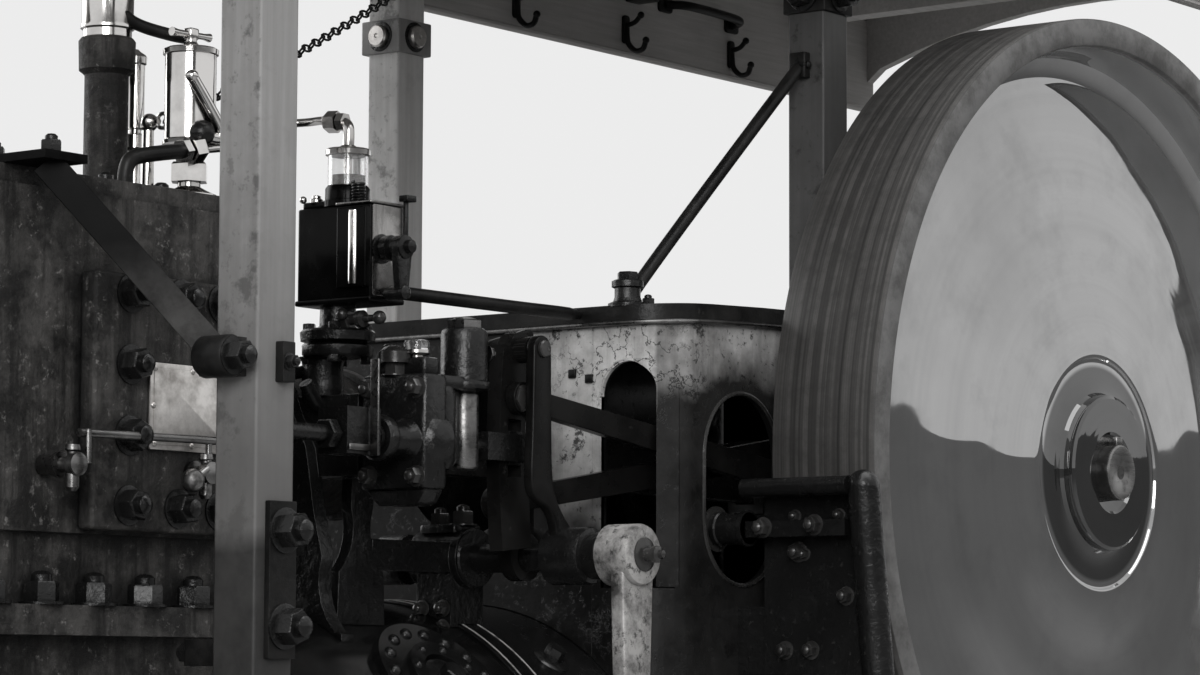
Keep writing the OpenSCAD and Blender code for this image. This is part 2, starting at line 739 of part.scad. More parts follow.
module eccentric_rod_lower() color(STEEL) at_crank() eccentric_rod(1);

lever_y = gear_y + link_t/2 + eye_t + 5;
lever_t = 16;
module lifting_lever() color(STEEL) at_crank() {
    slab_y(lever_y, lever_y + lever_t) polygon(concat(
        arc(lever_top_x, link_top, 18, 0, 180, 10),
        [[lever_top_x - 24, -60]],
        arc(link_x - 78, -66, 40, 0, -50, 5),
        [[weigh_x - 24, weigh_z + 30], [weigh_x + 20, weigh_z + 20]],
        arc(link_x + 36, -84, 52, 230, 180, 5)));
    rod_y(lever_top_x, lever_y - 1 + seat, lever_y + lever_t + 4, link_top, 9);
}

weigh_in = 10;
weigh_out = 455;
module weighshaft() color(STEEL) at_crank() {
    rod_y(weigh_x, weigh_in, weigh_out, weigh_z, weigh_r);
    rod_y(weigh_x, 14, 60, weigh_z, 34);
    rod_y(weigh_x, lever_y + lever_t + 1, 388, weigh_z, 37);
    rod_y(weigh_x, 392, 408, weigh_z, 40);
    rod_y(weigh_x, 410, 452, weigh_z, 40);
    box(weigh_x - 22, weigh_x + 22, 424, 446, weigh_z - 210, weigh_z);
    rod_y(weigh_x, 418, 452, weigh_z - 210, 26);
    rod_y(weigh_x, 452, 486, weigh_z, 6);
}

block_y0 = -210;
saddle_y = 262;
module cylinder_block() color(IRON) at_crank() difference() {
    union() {
        box(block_back, block_front, block_y0, chest_y - cover_t, -150, block_top - 22);
        box(block_back + 8, block_front - 8, block_y0 + 8, chest_y - cover_t - 8,
            block_top - 24, block_top);
        box(block_back - 16, block_front + 16, block_y0 - 40, saddle_y + 30, -266, -232);
        box(block_back + 20, block_front - 20, block_y0 + 10, saddle_y, -420, -140);
        rod_x(block_front, block_front + 34, 0, 0, 150);
        rod_x(block_back - gland_t, block_back, 0, 0, 60);
        rod_x(block_back - 22, block_back, gear_y - 20, valve_z, 34);
    }
    barrel_cutter();
    rod_x(block_back - gland_t - 1, block_back + 60, 0, 0, piston_r + running_gap);
    rod_x(block_back - gland_t - 1, block_back + 60, gear_y, valve_z,
        valve_rod_r + running_gap);
}

cover_back = block_back + 30;
cover_low = -146;
cover_high = 150;
module chest_cover() color(IRON) at_crank()
    box(cover_back, cover_back + cover_len, chest_y - cover_t, chest_y, cover_low, cover_high);

module blank_plate() color(PALE) at_crank()
    box(cover_back + 38, cover_back + 178, chest_y, chest_y + 3, -51, 50);

// Places along X and Y of the fittings on top of the block
steam_pipe = [block_back + 85, 100];
whistle_at = [block_back + 26, 91];
cup_at = [block_back + 28, 187];
// Round steps of a turned fitting from a table of low end, high end and radius
module turned(at, steps) for (t = steps)
    rod_z(at[0], at[1], block_top + t[0], block_top + t[1], t[2]);

module safety_valve() color(IRON) at_crank() turned(steam_pipe,
    [[0, 16, 43], [0, 163, 27], [163, 202, 35], [202, 298, 32], [298, 310, 36]]);

module whistle() color(BRIGHT) at_crank() turned(whistle_at,
    [[0, 18, 15], [0, 74, 7], [74, 96, 14], [96, 184, 11.5], [184, 190, 14], [190, 200, 6]]);

module lubricator() color(BRIGHT) at_crank() {
    turned(cup_at, [[0, 16, 34], [0, 72, 13], [72, 78, 34], [78, 184, 31.5],
        [184, 191, 34], [191, 200, 8]]);
    hex_z(cup_at[0], cup_at[1], block_top + 28, block_top + 50, 40);
    rod_x(cup_at[0] - 24, cup_at[0] + 24, cup_at[1], block_top + 204, 5);
}

oiler_x0 = guide_x;
oiler_x1 = guide_x + 64;
oiler_y0 = 115;
oiler_y1 = 240;
oiler_z0 = 167;
oiler_z1 = 290;
oiler_cup = [oiler_x0 + 34, 174];
module oiler() color(BLACK) at_crank() {
    box(oiler_x0, oiler_x1, oiler_y0, oiler_y1, oiler_z0, oiler_z1);
    box(oiler_x0 + 6, oiler_x1 - 6, 118, 180, oiler_z1, oiler_z1 + 7);
    box(oiler_x1, oiler_x1 + 10, 191, 238, 183, 283);
    rod_z(oiler_cup[0], oiler_cup[1], oiler_z1, oiler_z1 + 28, 29);
    rod_y(oiler_x0 + 20, oiler_y1, 292, 228, 8);
    rod_y(oiler_x0 + 20, oiler_y1 + 12, 262, 228, 15);
    slab_y(276, 286) polygon([[oiler_x0 + 10, 234], [oiler_x0 + 30, 234],
        [oiler_x0 - 16, 174], [oiler_x0 - 30, 180]]);
    rod_y(oiler_x0 - 24, 270, 316, 178, 6);
}

module oiler_glass() color([0.8, 0.85, 0.85, 0.4]) at_crank() {
    rod_z(oiler_cup[0], oiler_cup[1], oiler_z1 + 28, oiler_z1 + 68, 26);
    rod_z(oiler_cup[0], oiler_cup[1], oiler_z1 + 68, oiler_z1 + 76, 29);
}

module oiler_stand() color(IRON) at_crank() {
    rod_z(oiler_x0 + 32, 158, 132, oiler_z0, 24);
    rod_z(oiler_x0 + 32, 158, 116, 132, 49);
    rod_z(oiler_x0 + 32, 158, 98, 114, 46);
    rod_z(oiler_x0 + 32, 158, 113, 117, 38);
    rod_z(oiler_x0 + 32, 133, 48, 98, 28);
}

module post(x, y0, z0, z1) box(x - post_w, x, y0, y0 + post_w, z0, z1);

module post_front_left() color(POST_GREY) at_crank()
    post(post_front_x, post_y - post_w, post_bottom, rib_z);

module post_front_right() color(POST_GREY) at_crank()
    post(post_front_x, -post_y, post_bottom, rib_z);

module post_rear_left() color(POST_GREY) at_crank()
    post(post_rear_left_x, post_rear_left_y - post_w, 90, rib_z);

module post_rear_right() color(POST_GREY) at_crank()
    post(post_rear_right_x, -post_y, -180, rib_z);

module post_brackets() color(BLACK) at_crank() {
    for (s = [-1, 1]) for (z = [-600, -300])
        box(post_front_x - 50, post_front_x - 14,
            s > 0 ? barrel_r + 5 : -post_y + post_w,
            s > 0 ? post_y - post_w : -barrel_r - 5, z, z + 30);
    box(post_front_x - 60, post_front_x - 16, post_y, post_y + 8, -292, -116);
    box(post_front_x - 50, post_front_x - 30, post_y, post_y + 12, 17, 63);
    difference() {
        box(post_rear_right_x - post_w - 7, post_rear_right_x + 7, -post_y - 7,
            -post_y + post_w + 7, 671, 723);
        box(post_rear_right_x - post_w, post_rear_right_x, -post_y, -post_y + post_w, 670, 724);
    }
    for (z = [-160, 60])
        box(post_rear_right_x - 50, post_rear_right_x - 14, -post_y + post_w,
            -plate_y, z, z + 40);
}

brace_w = 34;
brace_t = 10;
brace_low = [post_front_x + 22, 446, 58];
brace_high = [block_front - 56, 308, block_top];
// A flat bar between two points, standing on edge
module flat_strut(a, b, w, t) {
    d = b - a;
    translate(a) rotate([0, acos(d[2]/norm(d)), atan2(d[1], d[0])])
        translate([-w/2, -t/2, 0]) cube([w, t, norm(d)]);
}

module brace_bars() color(BLACK) at_crank() for (s = [-1, 1]) mirror([0, s > 0 ? 0 : 1, 0]) {
    flat_strut(brace_low, brace_high, brace_w, brace_t);
    box(post_front_x, brace_low[0] + 6, 438, 484, 22, 66);
    box(brace_high[0] - 40, brace_high[0] + 26, 186, 334, block_top, block_top + 10);
}

module side_board(y0) box(canopy_back, canopy_front, y0, y0 + board_t,
    board_z, board_z + board_h);

module side_board_left() color(PALE) at_crank() side_board(post_y);

module side_board_right() color(PALE) at_crank() side_board(-post_y - board_t);

// Height of the roof's underside at a place along Y
function roof_low(y) = board_z + board_h + roof_rise*(1 - pow(y/(post_y + board_t), 2));

module end_boards() color(PALE) at_crank() for (x = [canopy_back, canopy_front - board_t])
    slab_x(x, x + board_t) polygon(concat(
        [[-post_y, board_z + 53]],
        [for (i = [-6:6]) let (y = 470*i/6) [y, 925 - 80*pow(i/6, 2)]],
        [[post_y, board_z + 53]],
        [for (i = [6:-1:-6]) let (y = post_y*i/6) [y, roof_low(y)]]));

rib_w = 44;
rib_places = [canopy_back + 240, -190, post_rear_right_x - 45, 1150,
    post_front_x - 42];
module roof_ribs() color(PALE) at_crank() for (x = rib_places)
    slab_x(x, x + rib_w) polygon(concat([[-post_y, rib_z], [post_y, rib_z]],
        [for (i = [6:-1:-6]) let (y = post_y*i/6) [y, roof_low(y)]]));

module roof() color(PALE) at_crank() slab_x(canopy_back, canopy_front) polygon(concat(
    [for (i = [-8:8]) let (y = i*(post_y + board_t)/8) [y, roof_low(y) + seat]],
    [for (i = [8:-1:-8]) let (y = i*(post_y + board_t)/8) [y, roof_low(y) + roof_t]]));

module strut(a, b, r) {
    d = b - a;
    translate(a) rotate([0, acos(d[2]/norm(d)), atan2(d[1], d[0])])
        cylinder(h = norm(d), r = r);
}

module stay_tube() color(BLACK) at_crank()
{
    strut([front_x - 21, 270, 212], [post_rear_left_x + 8, 296, 580], 9.5);
    rod_z(front_x - 19, 270, top_edge(front_x - 19) + cover_t2 + 0.7, 216, 9);
    box(post_rear_left_x, post_rear_left_x + 16, 282, 310, 562, 600);
}

module hand_tube() color(BLACK) at_crank()
    strut([oiler_x0 - 0.5, 212, 183], [front_x + 7, 206, 186], 9);

// Guard ahead of the flywheel: a thick top plate with a rounded front, a panel
// on an angle, a spindle through the slot and a half-round bar down the side
guard_x = wheel_r + 14;
guard_in = plate_y + 40;
guard_out = wheel_y;
guard_top = -39;
guard_low = -306;
spindle_z = -106;
module wheel_guard() color(BLACK) at_crank() {
    box(guard_x, guard_x + 48, guard_in, guard_out, guard_top - 25, guard_top);
    rod_y(guard_x + 48, guard_in, guard_out, guard_top - 12.5, 12.5);
    box(guard_x, guard_x + 12, guard_in + 10, guard_out, guard_low, guard_top - 20);
    box(guard_x + 6, guard_x + 44, guard_in - 6, guard_out - 10, spindle_z - 13, spindle_z + 9);
    rod_y(guard_x + 34, plate_y - 14, guard_in, spindle_z, 22);
    rod_y(guard_x + 34, plate_y - 44, plate_y - 10, spindle_z, 9);
    strut([guard_x + 34, guard_out + 14, guard_top - 14], [guard_x + 2, guard_out + 16, guard_low], 22);
    translate([guard_x + 34, guard_out + 14, guard_top - 14]) sphere(r = 22);
    box(guard_x - 8, guard_x + 4, plate_y, guard_in + 30, guard_low, slot_bottom - 30);
}

// A riveted ring round the washout hole on the shoulder of the barrel
washout_x = link_x + 110;
washout_turn = 46;
module washout($fn = 240) color(BLACK) at_crank() translate([washout_x, 0, barrel_z])
    rotate([-washout_turn, 0, 0]) difference() {
        union() {
            translate([0, 0, barrel_r - 25]) cylinder(h = 35, r = 104);
            translate([0, 0, barrel_r - 25]) cylinder(h = 45, r = 62);
        }
        translate([0, 0, barrel_r - 26]) cylinder(h = 50, r = 40);
        rotate([washout_turn, 0, 0]) translate([-washout_x, 0, -barrel_z]) barrel_cutter();
    }

glass_y = 176;
module backhead_fittings() color(BRIGHT) at_crank() {
    for (z = [barrel_z - 5, barrel_z + 165])
        rod_x(firebox_back - 50, firebox_back, glass_y, z, 11);
    rod_z(firebox_back - 40, glass_y, barrel_z - 30, barrel_z + 190, 9);
    rod_x(firebox_back - 60, firebox_back, 0, barrel_z + 170, 24);
    rod_x(firebox_back - 84, firebox_back, 0, barrel_z + 170, 12);
    box(firebox_back - 84, firebox_back - 72, -170, 20, barrel_z + 160, barrel_z + 180);
    rod_x(firebox_back - 44, firebox_back - 18, -180, barrel_z + 110, 58);
    rod_x(firebox_back - 20, firebox_back, -180, barrel_z + 110, 12);
}

barrel();
boiler_bands();
tube_plate();
firebox();
foundation_ring();
grate();
firehole_ring();
firehole_door();
side_plate_left();
side_plate_right();
front_plate();
top_cover();
crankshaft();
crank_bearing_left();
crank_bearing_right();
flywheel();
second_shaft();
second_bearings();
connecting_rod();
crosshead();
trunk_guide();
motion_bracket();
valve_guide();
guide_column();
valve_rod();
expansion_link();
eccentric_rod_upper();
eccentric_rod_lower();
lifting_lever();
weighshaft();
cylinder_block();
chest_cover();
blank_plate();
safety_valve();
whistle();
lubricator();
oiler();
oiler_stand();
oiler_glass();
post_front_left();
post_front_right();
post_rear_left();
post_rear_right();
post_brackets();
brace_bars();
side_board_left();
side_board_right();
end_boards();
roof_ribs();
roof();
stay_tube();
hand_tube();
wheel_guard();
washout();
backhead_fittings();
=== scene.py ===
"""Engine unit of a steam traction engine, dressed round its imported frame.

Lengths in the tables are millimetres from the middle of the crankshaft: X to
the front, Y to the flywheel side, Z up. They become metres in the frame when a
piece is made.
"""
import json
import math

import bpy
import numpy as np
from bpy.props import FloatProperty, FloatVectorProperty, PointerProperty
from mathutils import Matrix, Vector


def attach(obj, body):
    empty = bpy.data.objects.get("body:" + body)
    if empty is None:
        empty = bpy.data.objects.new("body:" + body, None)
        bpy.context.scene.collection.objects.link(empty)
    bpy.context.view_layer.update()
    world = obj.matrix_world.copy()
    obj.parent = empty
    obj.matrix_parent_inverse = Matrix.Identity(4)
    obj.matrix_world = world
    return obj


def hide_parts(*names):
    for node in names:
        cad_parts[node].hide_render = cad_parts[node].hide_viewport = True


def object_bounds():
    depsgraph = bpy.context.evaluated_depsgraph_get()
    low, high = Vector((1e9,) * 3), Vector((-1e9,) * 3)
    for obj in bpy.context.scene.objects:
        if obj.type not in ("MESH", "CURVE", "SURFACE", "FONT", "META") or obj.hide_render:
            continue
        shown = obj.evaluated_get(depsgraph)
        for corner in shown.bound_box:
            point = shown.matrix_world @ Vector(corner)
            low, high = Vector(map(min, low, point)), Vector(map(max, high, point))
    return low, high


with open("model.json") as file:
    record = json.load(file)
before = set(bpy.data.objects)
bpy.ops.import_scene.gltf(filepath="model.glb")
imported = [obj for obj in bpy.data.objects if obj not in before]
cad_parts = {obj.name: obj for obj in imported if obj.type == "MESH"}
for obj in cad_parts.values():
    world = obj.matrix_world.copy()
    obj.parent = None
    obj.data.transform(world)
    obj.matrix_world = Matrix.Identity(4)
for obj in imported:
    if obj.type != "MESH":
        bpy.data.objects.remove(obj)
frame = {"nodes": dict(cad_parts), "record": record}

bl_info = {
    "name": "Traction Engine Motion Unit",
    "version": (1, 0, 0),
    "blender": (4, 5, 0),
    "location": "View3D > Sidebar > Engine",
    "description": "Dresses the engine unit: finishes, fittings, bolts, pipes and the studio",
    "category": "Object",
}

CRANK = np.array([0.56, 0.0, 0.64])     # the crankshaft's middle in the frame, metres
CAD_BOX = [list(c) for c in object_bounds()]
BARREL_R, BARREL_Z = 375.0, -585.0      # the barrel's radius and middle
BANDS_X = (355, 1062, 1735, 2109)       # its bands
WEIGH_X, WEIGH_Z = 1069.0, -153.0       # the weighshaft
SECOND_X, SECOND_Z = -300, -110         # the second shaft
AXLE_X, AXLE_Z = -560, -640             # the hind axle
PLATE_Y = 345                           # the side plates' outer faces
CORNER_X, CORNER_Y, CORNER_R = 800, 265, 80     # the rolled corner of the casing's front
GUIDE_Y, ROD_Z = 285, -14               # the valve rod's line
BLOCK_TOP = 262                         # the cylinder block's top
BOARD_Y = -500                          # the right side board's inner face
FIREHOLE_Z = -760                       # the firehole's middle
AXES = {"x": (1, 0, 0), "y": (0, 1, 0), "z": (0, 0, 1)}
SIDE = {1: "y", -1: "-y"}               # outwards to the flywheel and away from it


# Surfaces

def direction(axis):
    """Unit vector of an axis given by letter, such as "x" or "-y", or by three numbers."""
    if isinstance(axis, str):
        return np.array(AXES[axis[-1]], float) * (-1 if axis[0] == "-" else 1)
    axis = np.array(axis, float)
    return axis / np.linalg.norm(axis)


def across(axis):
    """Two unit vectors u and v square to the axis n, with u x v = n."""
    n = direction(axis)
    side = np.array([0, 0, 1.0]) if abs(n[2]) < 0.9 else np.array([1.0, 0, 0])
    u = np.cross(side, n)
    u /= np.linalg.norm(u)
    return u, np.cross(n, u), n


def whole_turn(n):
    """So many angles evenly round a circle."""
    return np.linspace(0, 2 * np.pi, n, endpoint=False)


def spokes(t, u, v):
    """The vectors u cos t + v sin t, one for each angle."""
    return np.cos(t)[:, None] * u + np.sin(t)[:, None] * v


def net(rows, columns, closed=False):
    """The four-sided faces of a grid of points whose columns run round, and whose rows
    run round too where it is closed."""
    i, j = np.meshgrid(np.arange(rows if closed else rows - 1), np.arange(columns), indexing="ij")
    k, q = (j + 1) % columns, (i + 1) % rows
    quads = np.stack([i * columns + j, i * columns + k, q * columns + k, q * columns + j], -1)
    return [tuple(f) for f in quads.reshape(-1, 4).tolist()]


def turned_over(faces):
    """The same four-sided faces seen from behind."""
    return [(a, d, c, b) for a, b, c, d in faces]


def loft(sections):
    """A closed skin through rings of points: sections is (rings, points, 3), each ring
    turning left about the way the rings go, and the two end rings are capped."""
    m, n = sections.shape[:2]
    caps = [tuple(range(n - 1, -1, -1)), tuple(range((m - 1) * n, m * n))]
    return sections.reshape(-1, 3), net(m, n) + caps


def lathe(base, axis, profile, sides=40):
    """A profile of (along, radius) pairs turned about an axis: P = base + along n
    + radius (u cos t + v sin t)."""
    u, v, n = across(axis)
    profile = np.array(profile, float)
    return loft(np.array(base, float) + profile[:, None, :1] * n
                + np.maximum(profile[:, None, 1:], 0.02) * spokes(whole_turn(sides), u, v))


def bent(points, steps=8):
    """A smooth curve through the points: Catmull-Rom pieces, each of so many steps."""
    p = np.array(points, float)
    p = np.vstack([2 * p[0] - p[1], p, 2 * p[-1] - p[-2]])
    t = np.linspace(0, 1, steps, endpoint=False)[:, None]
    a, b, c, d = (p[k:len(p) - 3 + k, None, :] for k in range(4))
    curve = 0.5 * (2 * b + (c - a) * t + (2 * a - 5 * b + 4 * c - d) * t ** 2
                   + (3 * b - a - 3 * c + d) * t ** 3)
    return np.vstack([curve.reshape(-1, p.shape[1]), p[-2:-1]])


def sweep(path, radius, sides=16, flat=1.0):
    """A round or oval profile carried along a path. The first frame's side vector is
    turned by the least rotation from point to point, so the profile doesn't twist."""
    path = np.array(path, float)
    t = np.gradient(path, axis=0)
    t /= np.linalg.norm(t, axis=1, keepdims=True)
    u = across(t[0])[0]
    sides_u = [u]
    for k in range(1, len(path)):
        u = u - t[k] * (u @ t[k])
        u /= np.linalg.norm(u)
        sides_u.append(u)
    u = np.array(sides_u)
    v = np.cross(t, u)
    a = whole_turn(sides)[:, None]
    r = np.broadcast_to(np.asarray(radius, float), (len(path),))
    ring = np.cos(a) * u[:, None] + flat * np.sin(a) * v[:, None]
    return loft(path[:, None] + r[:, None, None] * ring)


def pipe(points, steps, radius, sides=16, flat=1.0):
    """A round or oval profile carried along the smooth curve through the points."""
    return sweep(bent(points, steps), radius, sides, flat)


def inset(outline, by):
    """The outline moved inwards: each point goes along the mean of its two edge
    normals, further at sharp corners."""
    e = np.roll(outline, -1, 0) - outline
    e /= np.maximum(np.linalg.norm(e, axis=1, keepdims=True), 1e-9)
    n = np.stack([-e[:, 1], e[:, 0]], 1)
    m = n + np.roll(n, 1, 0)
    m /= np.maximum(np.linalg.norm(m, axis=1, keepdims=True), 1e-9)
    return outline + m * (by / np.clip((m * n).sum(1), 0.5, 1))[:, None]


def ring_area(p):
    """Twice the area inside a ring of points, below 0 where it turns right: the sum of
    x times the next y less y times the next x."""
    return (p[:, 0] * np.roll(p[:, 1], -1) - p[:, 1] * np.roll(p[:, 0], -1)).sum()


def slab(outline, axis, low, high, edge=1.0, steps=3):
    """An outline made thick along an axis, with its two rims rounded: rings at
    inset edge (1 - sin t) and depth edge (1 - cos t) for t from 0 to a right angle.
    The outline's columns are (x, z) for y, (y, z) for x and (x, y) for z."""
    outline = np.array(outline, float)
    u, v = (direction(letter) for letter in "xyz" if letter != axis)
    n = direction(axis)
    if ring_area(outline) < 0:
        outline = outline[::-1]
    t = np.linspace(0, np.pi / 2, steps)
    depth, inwards = edge * (1 - np.cos(t)), edge * (1 - np.sin(t))
    along = np.concatenate([low + depth, (high - depth)[::-1]])
    rings = [inset(outline, b) for b in inwards]
    rings = rings + rings[::-1]
    sections = np.array([r[:, :1] * u + r[:, 1:] * v + a * n for r, a in zip(rings, along)])
    return loft(sections[:, ::-1] if axis == "y" else sections)


def circle(r, n=40, at=(0, 0), start=0.0, end=360.0):
    """Points of a circle, or of an arc from start to end degrees."""
    whole = end - start >= 360
    t = np.radians(np.linspace(start, end, n, endpoint=not whole))
    return np.stack([at[0] + r * np.cos(t), at[1] + r * np.sin(t)], 1)


def rounded(points, r, steps=5):
    """A polygon with its corners rounded: each is a quadratic curve between two
    points r away from it on its edges (r may be one number or one per corner)."""
    p = np.array(points, float)
    r = np.broadcast_to(np.asarray(r, float), (len(p),))[:, None]
    to_last, to_next = np.roll(p, 1, 0) - p, np.roll(p, -1, 0) - p
    a_len = np.linalg.norm(to_last, axis=1, keepdims=True)
    b_len = np.linalg.norm(to_next, axis=1, keepdims=True)
    a = p + to_last / a_len * np.minimum(r, a_len * 0.48)
    b = p + to_next / b_len * np.minimum(r, b_len * 0.48)
    t = np.linspace(0, 1, steps)[None, :, None]
    return ((1 - t) ** 2 * a[:, None] + 2 * t * (1 - t) * p[:, None]
            + t ** 2 * b[:, None]).reshape(-1, 2)


def rect(x0, x1, y0, y1, r=3):
    """A rectangle with rounded corners."""
    return rounded([(x0, y0), (x1, y0), (x1, y1), (x0, y1)], r)


def eye_bar(a, b, ra, rb):
    """The outline round two circles: half of each, joined by straight sides."""
    n = 14      # points on each half
    a, b = np.array(a, float), np.array(b, float)
    d = b - a
    turn = math.degrees(math.atan2(d[1], d[0]))
    lean = math.degrees(math.asin(max(-1, min(1, (ra - rb) / np.hypot(*d)))))
    return np.vstack([circle(rb, n, b, turn - 90 + lean, turn + 90 - lean),
                      circle(ra, n, a, turn + 90 - lean, turn + 270 + lean)])


def block(x0, x1, y0, y1, z0, z1, r=3.0, edge=1.5):
    """A box with rounded upright corners and rims."""
    return slab(rect(x0, x1, y0, y1, r), "z", z0, z1, edge=edge)


def hex_head(at, axis, width, height, turn=0.0):
    """A hexagon with its top rim turned off: six-sided rings, the last one smaller."""
    u, v, n = across(axis)
    ring = spokes(np.radians(turn + np.arange(6) * 60.0), u, v)
    r = width / math.sqrt(3)
    crown = 0.12        # the share of its height that is turned off
    rows = [(0, r), (height * (1 - crown), r), (height, r * 0.9)]
    return loft(np.array([np.array(at, float) + a * n + q * ring for a, q in rows]))


def bolt(at, axis, width=24.0, turn=10.0, stud=0.35):
    """A nut on its washer, with the domed end of its stud standing out. Its parts go by
    its width: washer 0.1 thick, nut 0.62 high, stud end as high as wide."""
    n = direction(axis)
    at = np.array(at, float)
    w, h, s = width * 0.1, width * 0.62, width * stud
    return [hex_head(at + n * w, axis, width, h, turn),
            lathe(at, axis, [(0, width * 0.72), (w * 0.8, width * 0.72), (w, width * 0.66)], 24),
            lathe(at + n * (w + h), axis,
                  [(-1, s * 0.95), (s * 0.6, s * 0.95), (s * 0.9, s * 0.6), (s, 0.1)], 16)]


def bolts(places, axis, width, turn=0, step=0):
    """A bolt at each place, each turned a step further than the last."""
    return [s for k, p in enumerate(places) for s in bolt(p, axis, width, turn + step * k)]


def rivet(at, axis, r=9.0):
    """A round head: a quarter of an arc turned about its axis."""
    t = np.linspace(0, np.pi / 2, 5)
    return lathe(at, axis, np.stack([r * 0.7 * np.sin(t), r * np.cos(t)], 1), 14)


def ball(at, r, sides=24):
    """A sphere: a half circle turned about the upright."""
    t = np.linspace(-np.pi / 2, np.pi / 2, sides // 2 + 1)
    return lathe(at, "z", np.stack([r * np.sin(t), r * np.cos(t)], 1), sides)


def torus(at, axis, ring_r, r, sides=32, thick=10):
    """A small circle carried round a large one."""
    u, v, n = across(axis)
    a = whole_turn(thick)[:, None]
    out = spokes(whole_turn(sides), u, v)[:, None]
    points = np.array(at, float) + (ring_r + r * np.cos(a)) * out + r * np.sin(a) * n
    return points.reshape(-1, 3), turned_over(net(sides, thick, True))


def hoop(base, axis, profile, sides=160):
    """A closed loop of (along, radius) pairs turned about an axis, open in the middle:
    P = base + along n + radius (u cos t + v sin t), both ways round joining up."""
    u, v, n = across(axis)
    p = np.array(profile, float)
    if ring_area(p) > 0:
        p = p[::-1]
    ring = spokes(whole_turn(sides), u, v)
    points = np.array(base, float) + p[:, None, :1] * n + p[:, None, 1:] * ring
    return points.reshape(-1, 3), net(len(p), sides, True)


def closed_tube(path, r):
    """A round bead carried round a closed flat path: its frame is the path's own
    normal and the way it runs."""
    path = np.array(path, float)
    t = np.roll(path, -1, 0) - np.roll(path, 1, 0)
    t /= np.linalg.norm(t, axis=1, keepdims=True)
    n = np.cross(path[1] - path[0], path[len(path) // 3] - path[0])
    n /= np.linalg.norm(n)
    side = np.cross(t, n)
    sides = 8
    a = whole_turn(sides)[:, None]
    points = path[:, None] + r * (np.cos(a) * side[:, None] + np.sin(a) * n)
    return points.reshape(-1, 3), net(len(path), sides, True)


def rolled_strip(inner, outer, thick):
    """A strip between two (y, z) lines, laid 0.7 proud on the casing's front and on its
    rolled corner, where X = corner's X + root(r^2 - (y - corner's Y)^2)."""
    def on_plate(line, depth):
        r = CORNER_R + 0.7 - depth
        past = np.clip(line[:, 0] - CORNER_Y, 0, r - 1)
        return np.column_stack([CORNER_X + np.sqrt(r * r - past ** 2), line])
    return loft(np.stack([on_plate(inner, 0), on_plate(outer, 0), on_plate(outer, thick),
                          on_plate(inner, thick)], 1)[:, ::-1])


def around(centre, axis, r, count, start=0.0):
    """Places spaced round a circle: centre + r (u cos t + v sin t)."""
    u, v, _ = across(axis)
    t = np.radians(start) + np.arange(count) * 2 * np.pi / count
    return np.array(centre, float) + r * spokes(t, u, v)


def on_barrel(x, lean, proud=0.0):
    """A place on the barrel and its outward axis, so many degrees over to +Y."""
    a = math.radians(lean)
    out = np.array([0.0, math.sin(a), math.cos(a)])
    return np.array([x, 0.0, BARREL_Z]) + (BARREL_R + proud) * out, out


def plate_rivets(x, z, r):
    """A rivet on each of the two side plates."""
    return [rivet((x, s * PLATE_Y, z), SIDE[s], r) for s in (1, -1)]


def placed(name, data):
    """A new object in the scene for a mesh, lamp or camera."""
    obj = bpy.data.objects.new(name, data)
    bpy.context.scene.collection.objects.link(obj)
    return obj


def piece(name, surfaces, finish, body="engine", stands_for=(), smooth=35.0):
    """Makes one mesh of all the surfaces, gives it its finish and lets it ride."""
    points, faces, start = [], [], 0
    for p, f in surfaces:
        points.append(p)
        faces.extend([tuple(k + start for k in q) for q in f])
        start += len(p)
    points = np.vstack(points) * 0.001 + CRANK
    mesh = bpy.data.meshes.new(name)
    mesh.from_pydata(points.tolist(), [], faces)
    mesh.validate()
    mesh.shade_smooth()
    mesh.set_sharp_from_angle(angle=math.radians(smooth))
    mesh.materials.append(FINISHES[finish]())
    obj = placed(name, mesh)
    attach(obj, body)
    if stands_for:
        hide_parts(*stands_for)
    return obj


# Finishes

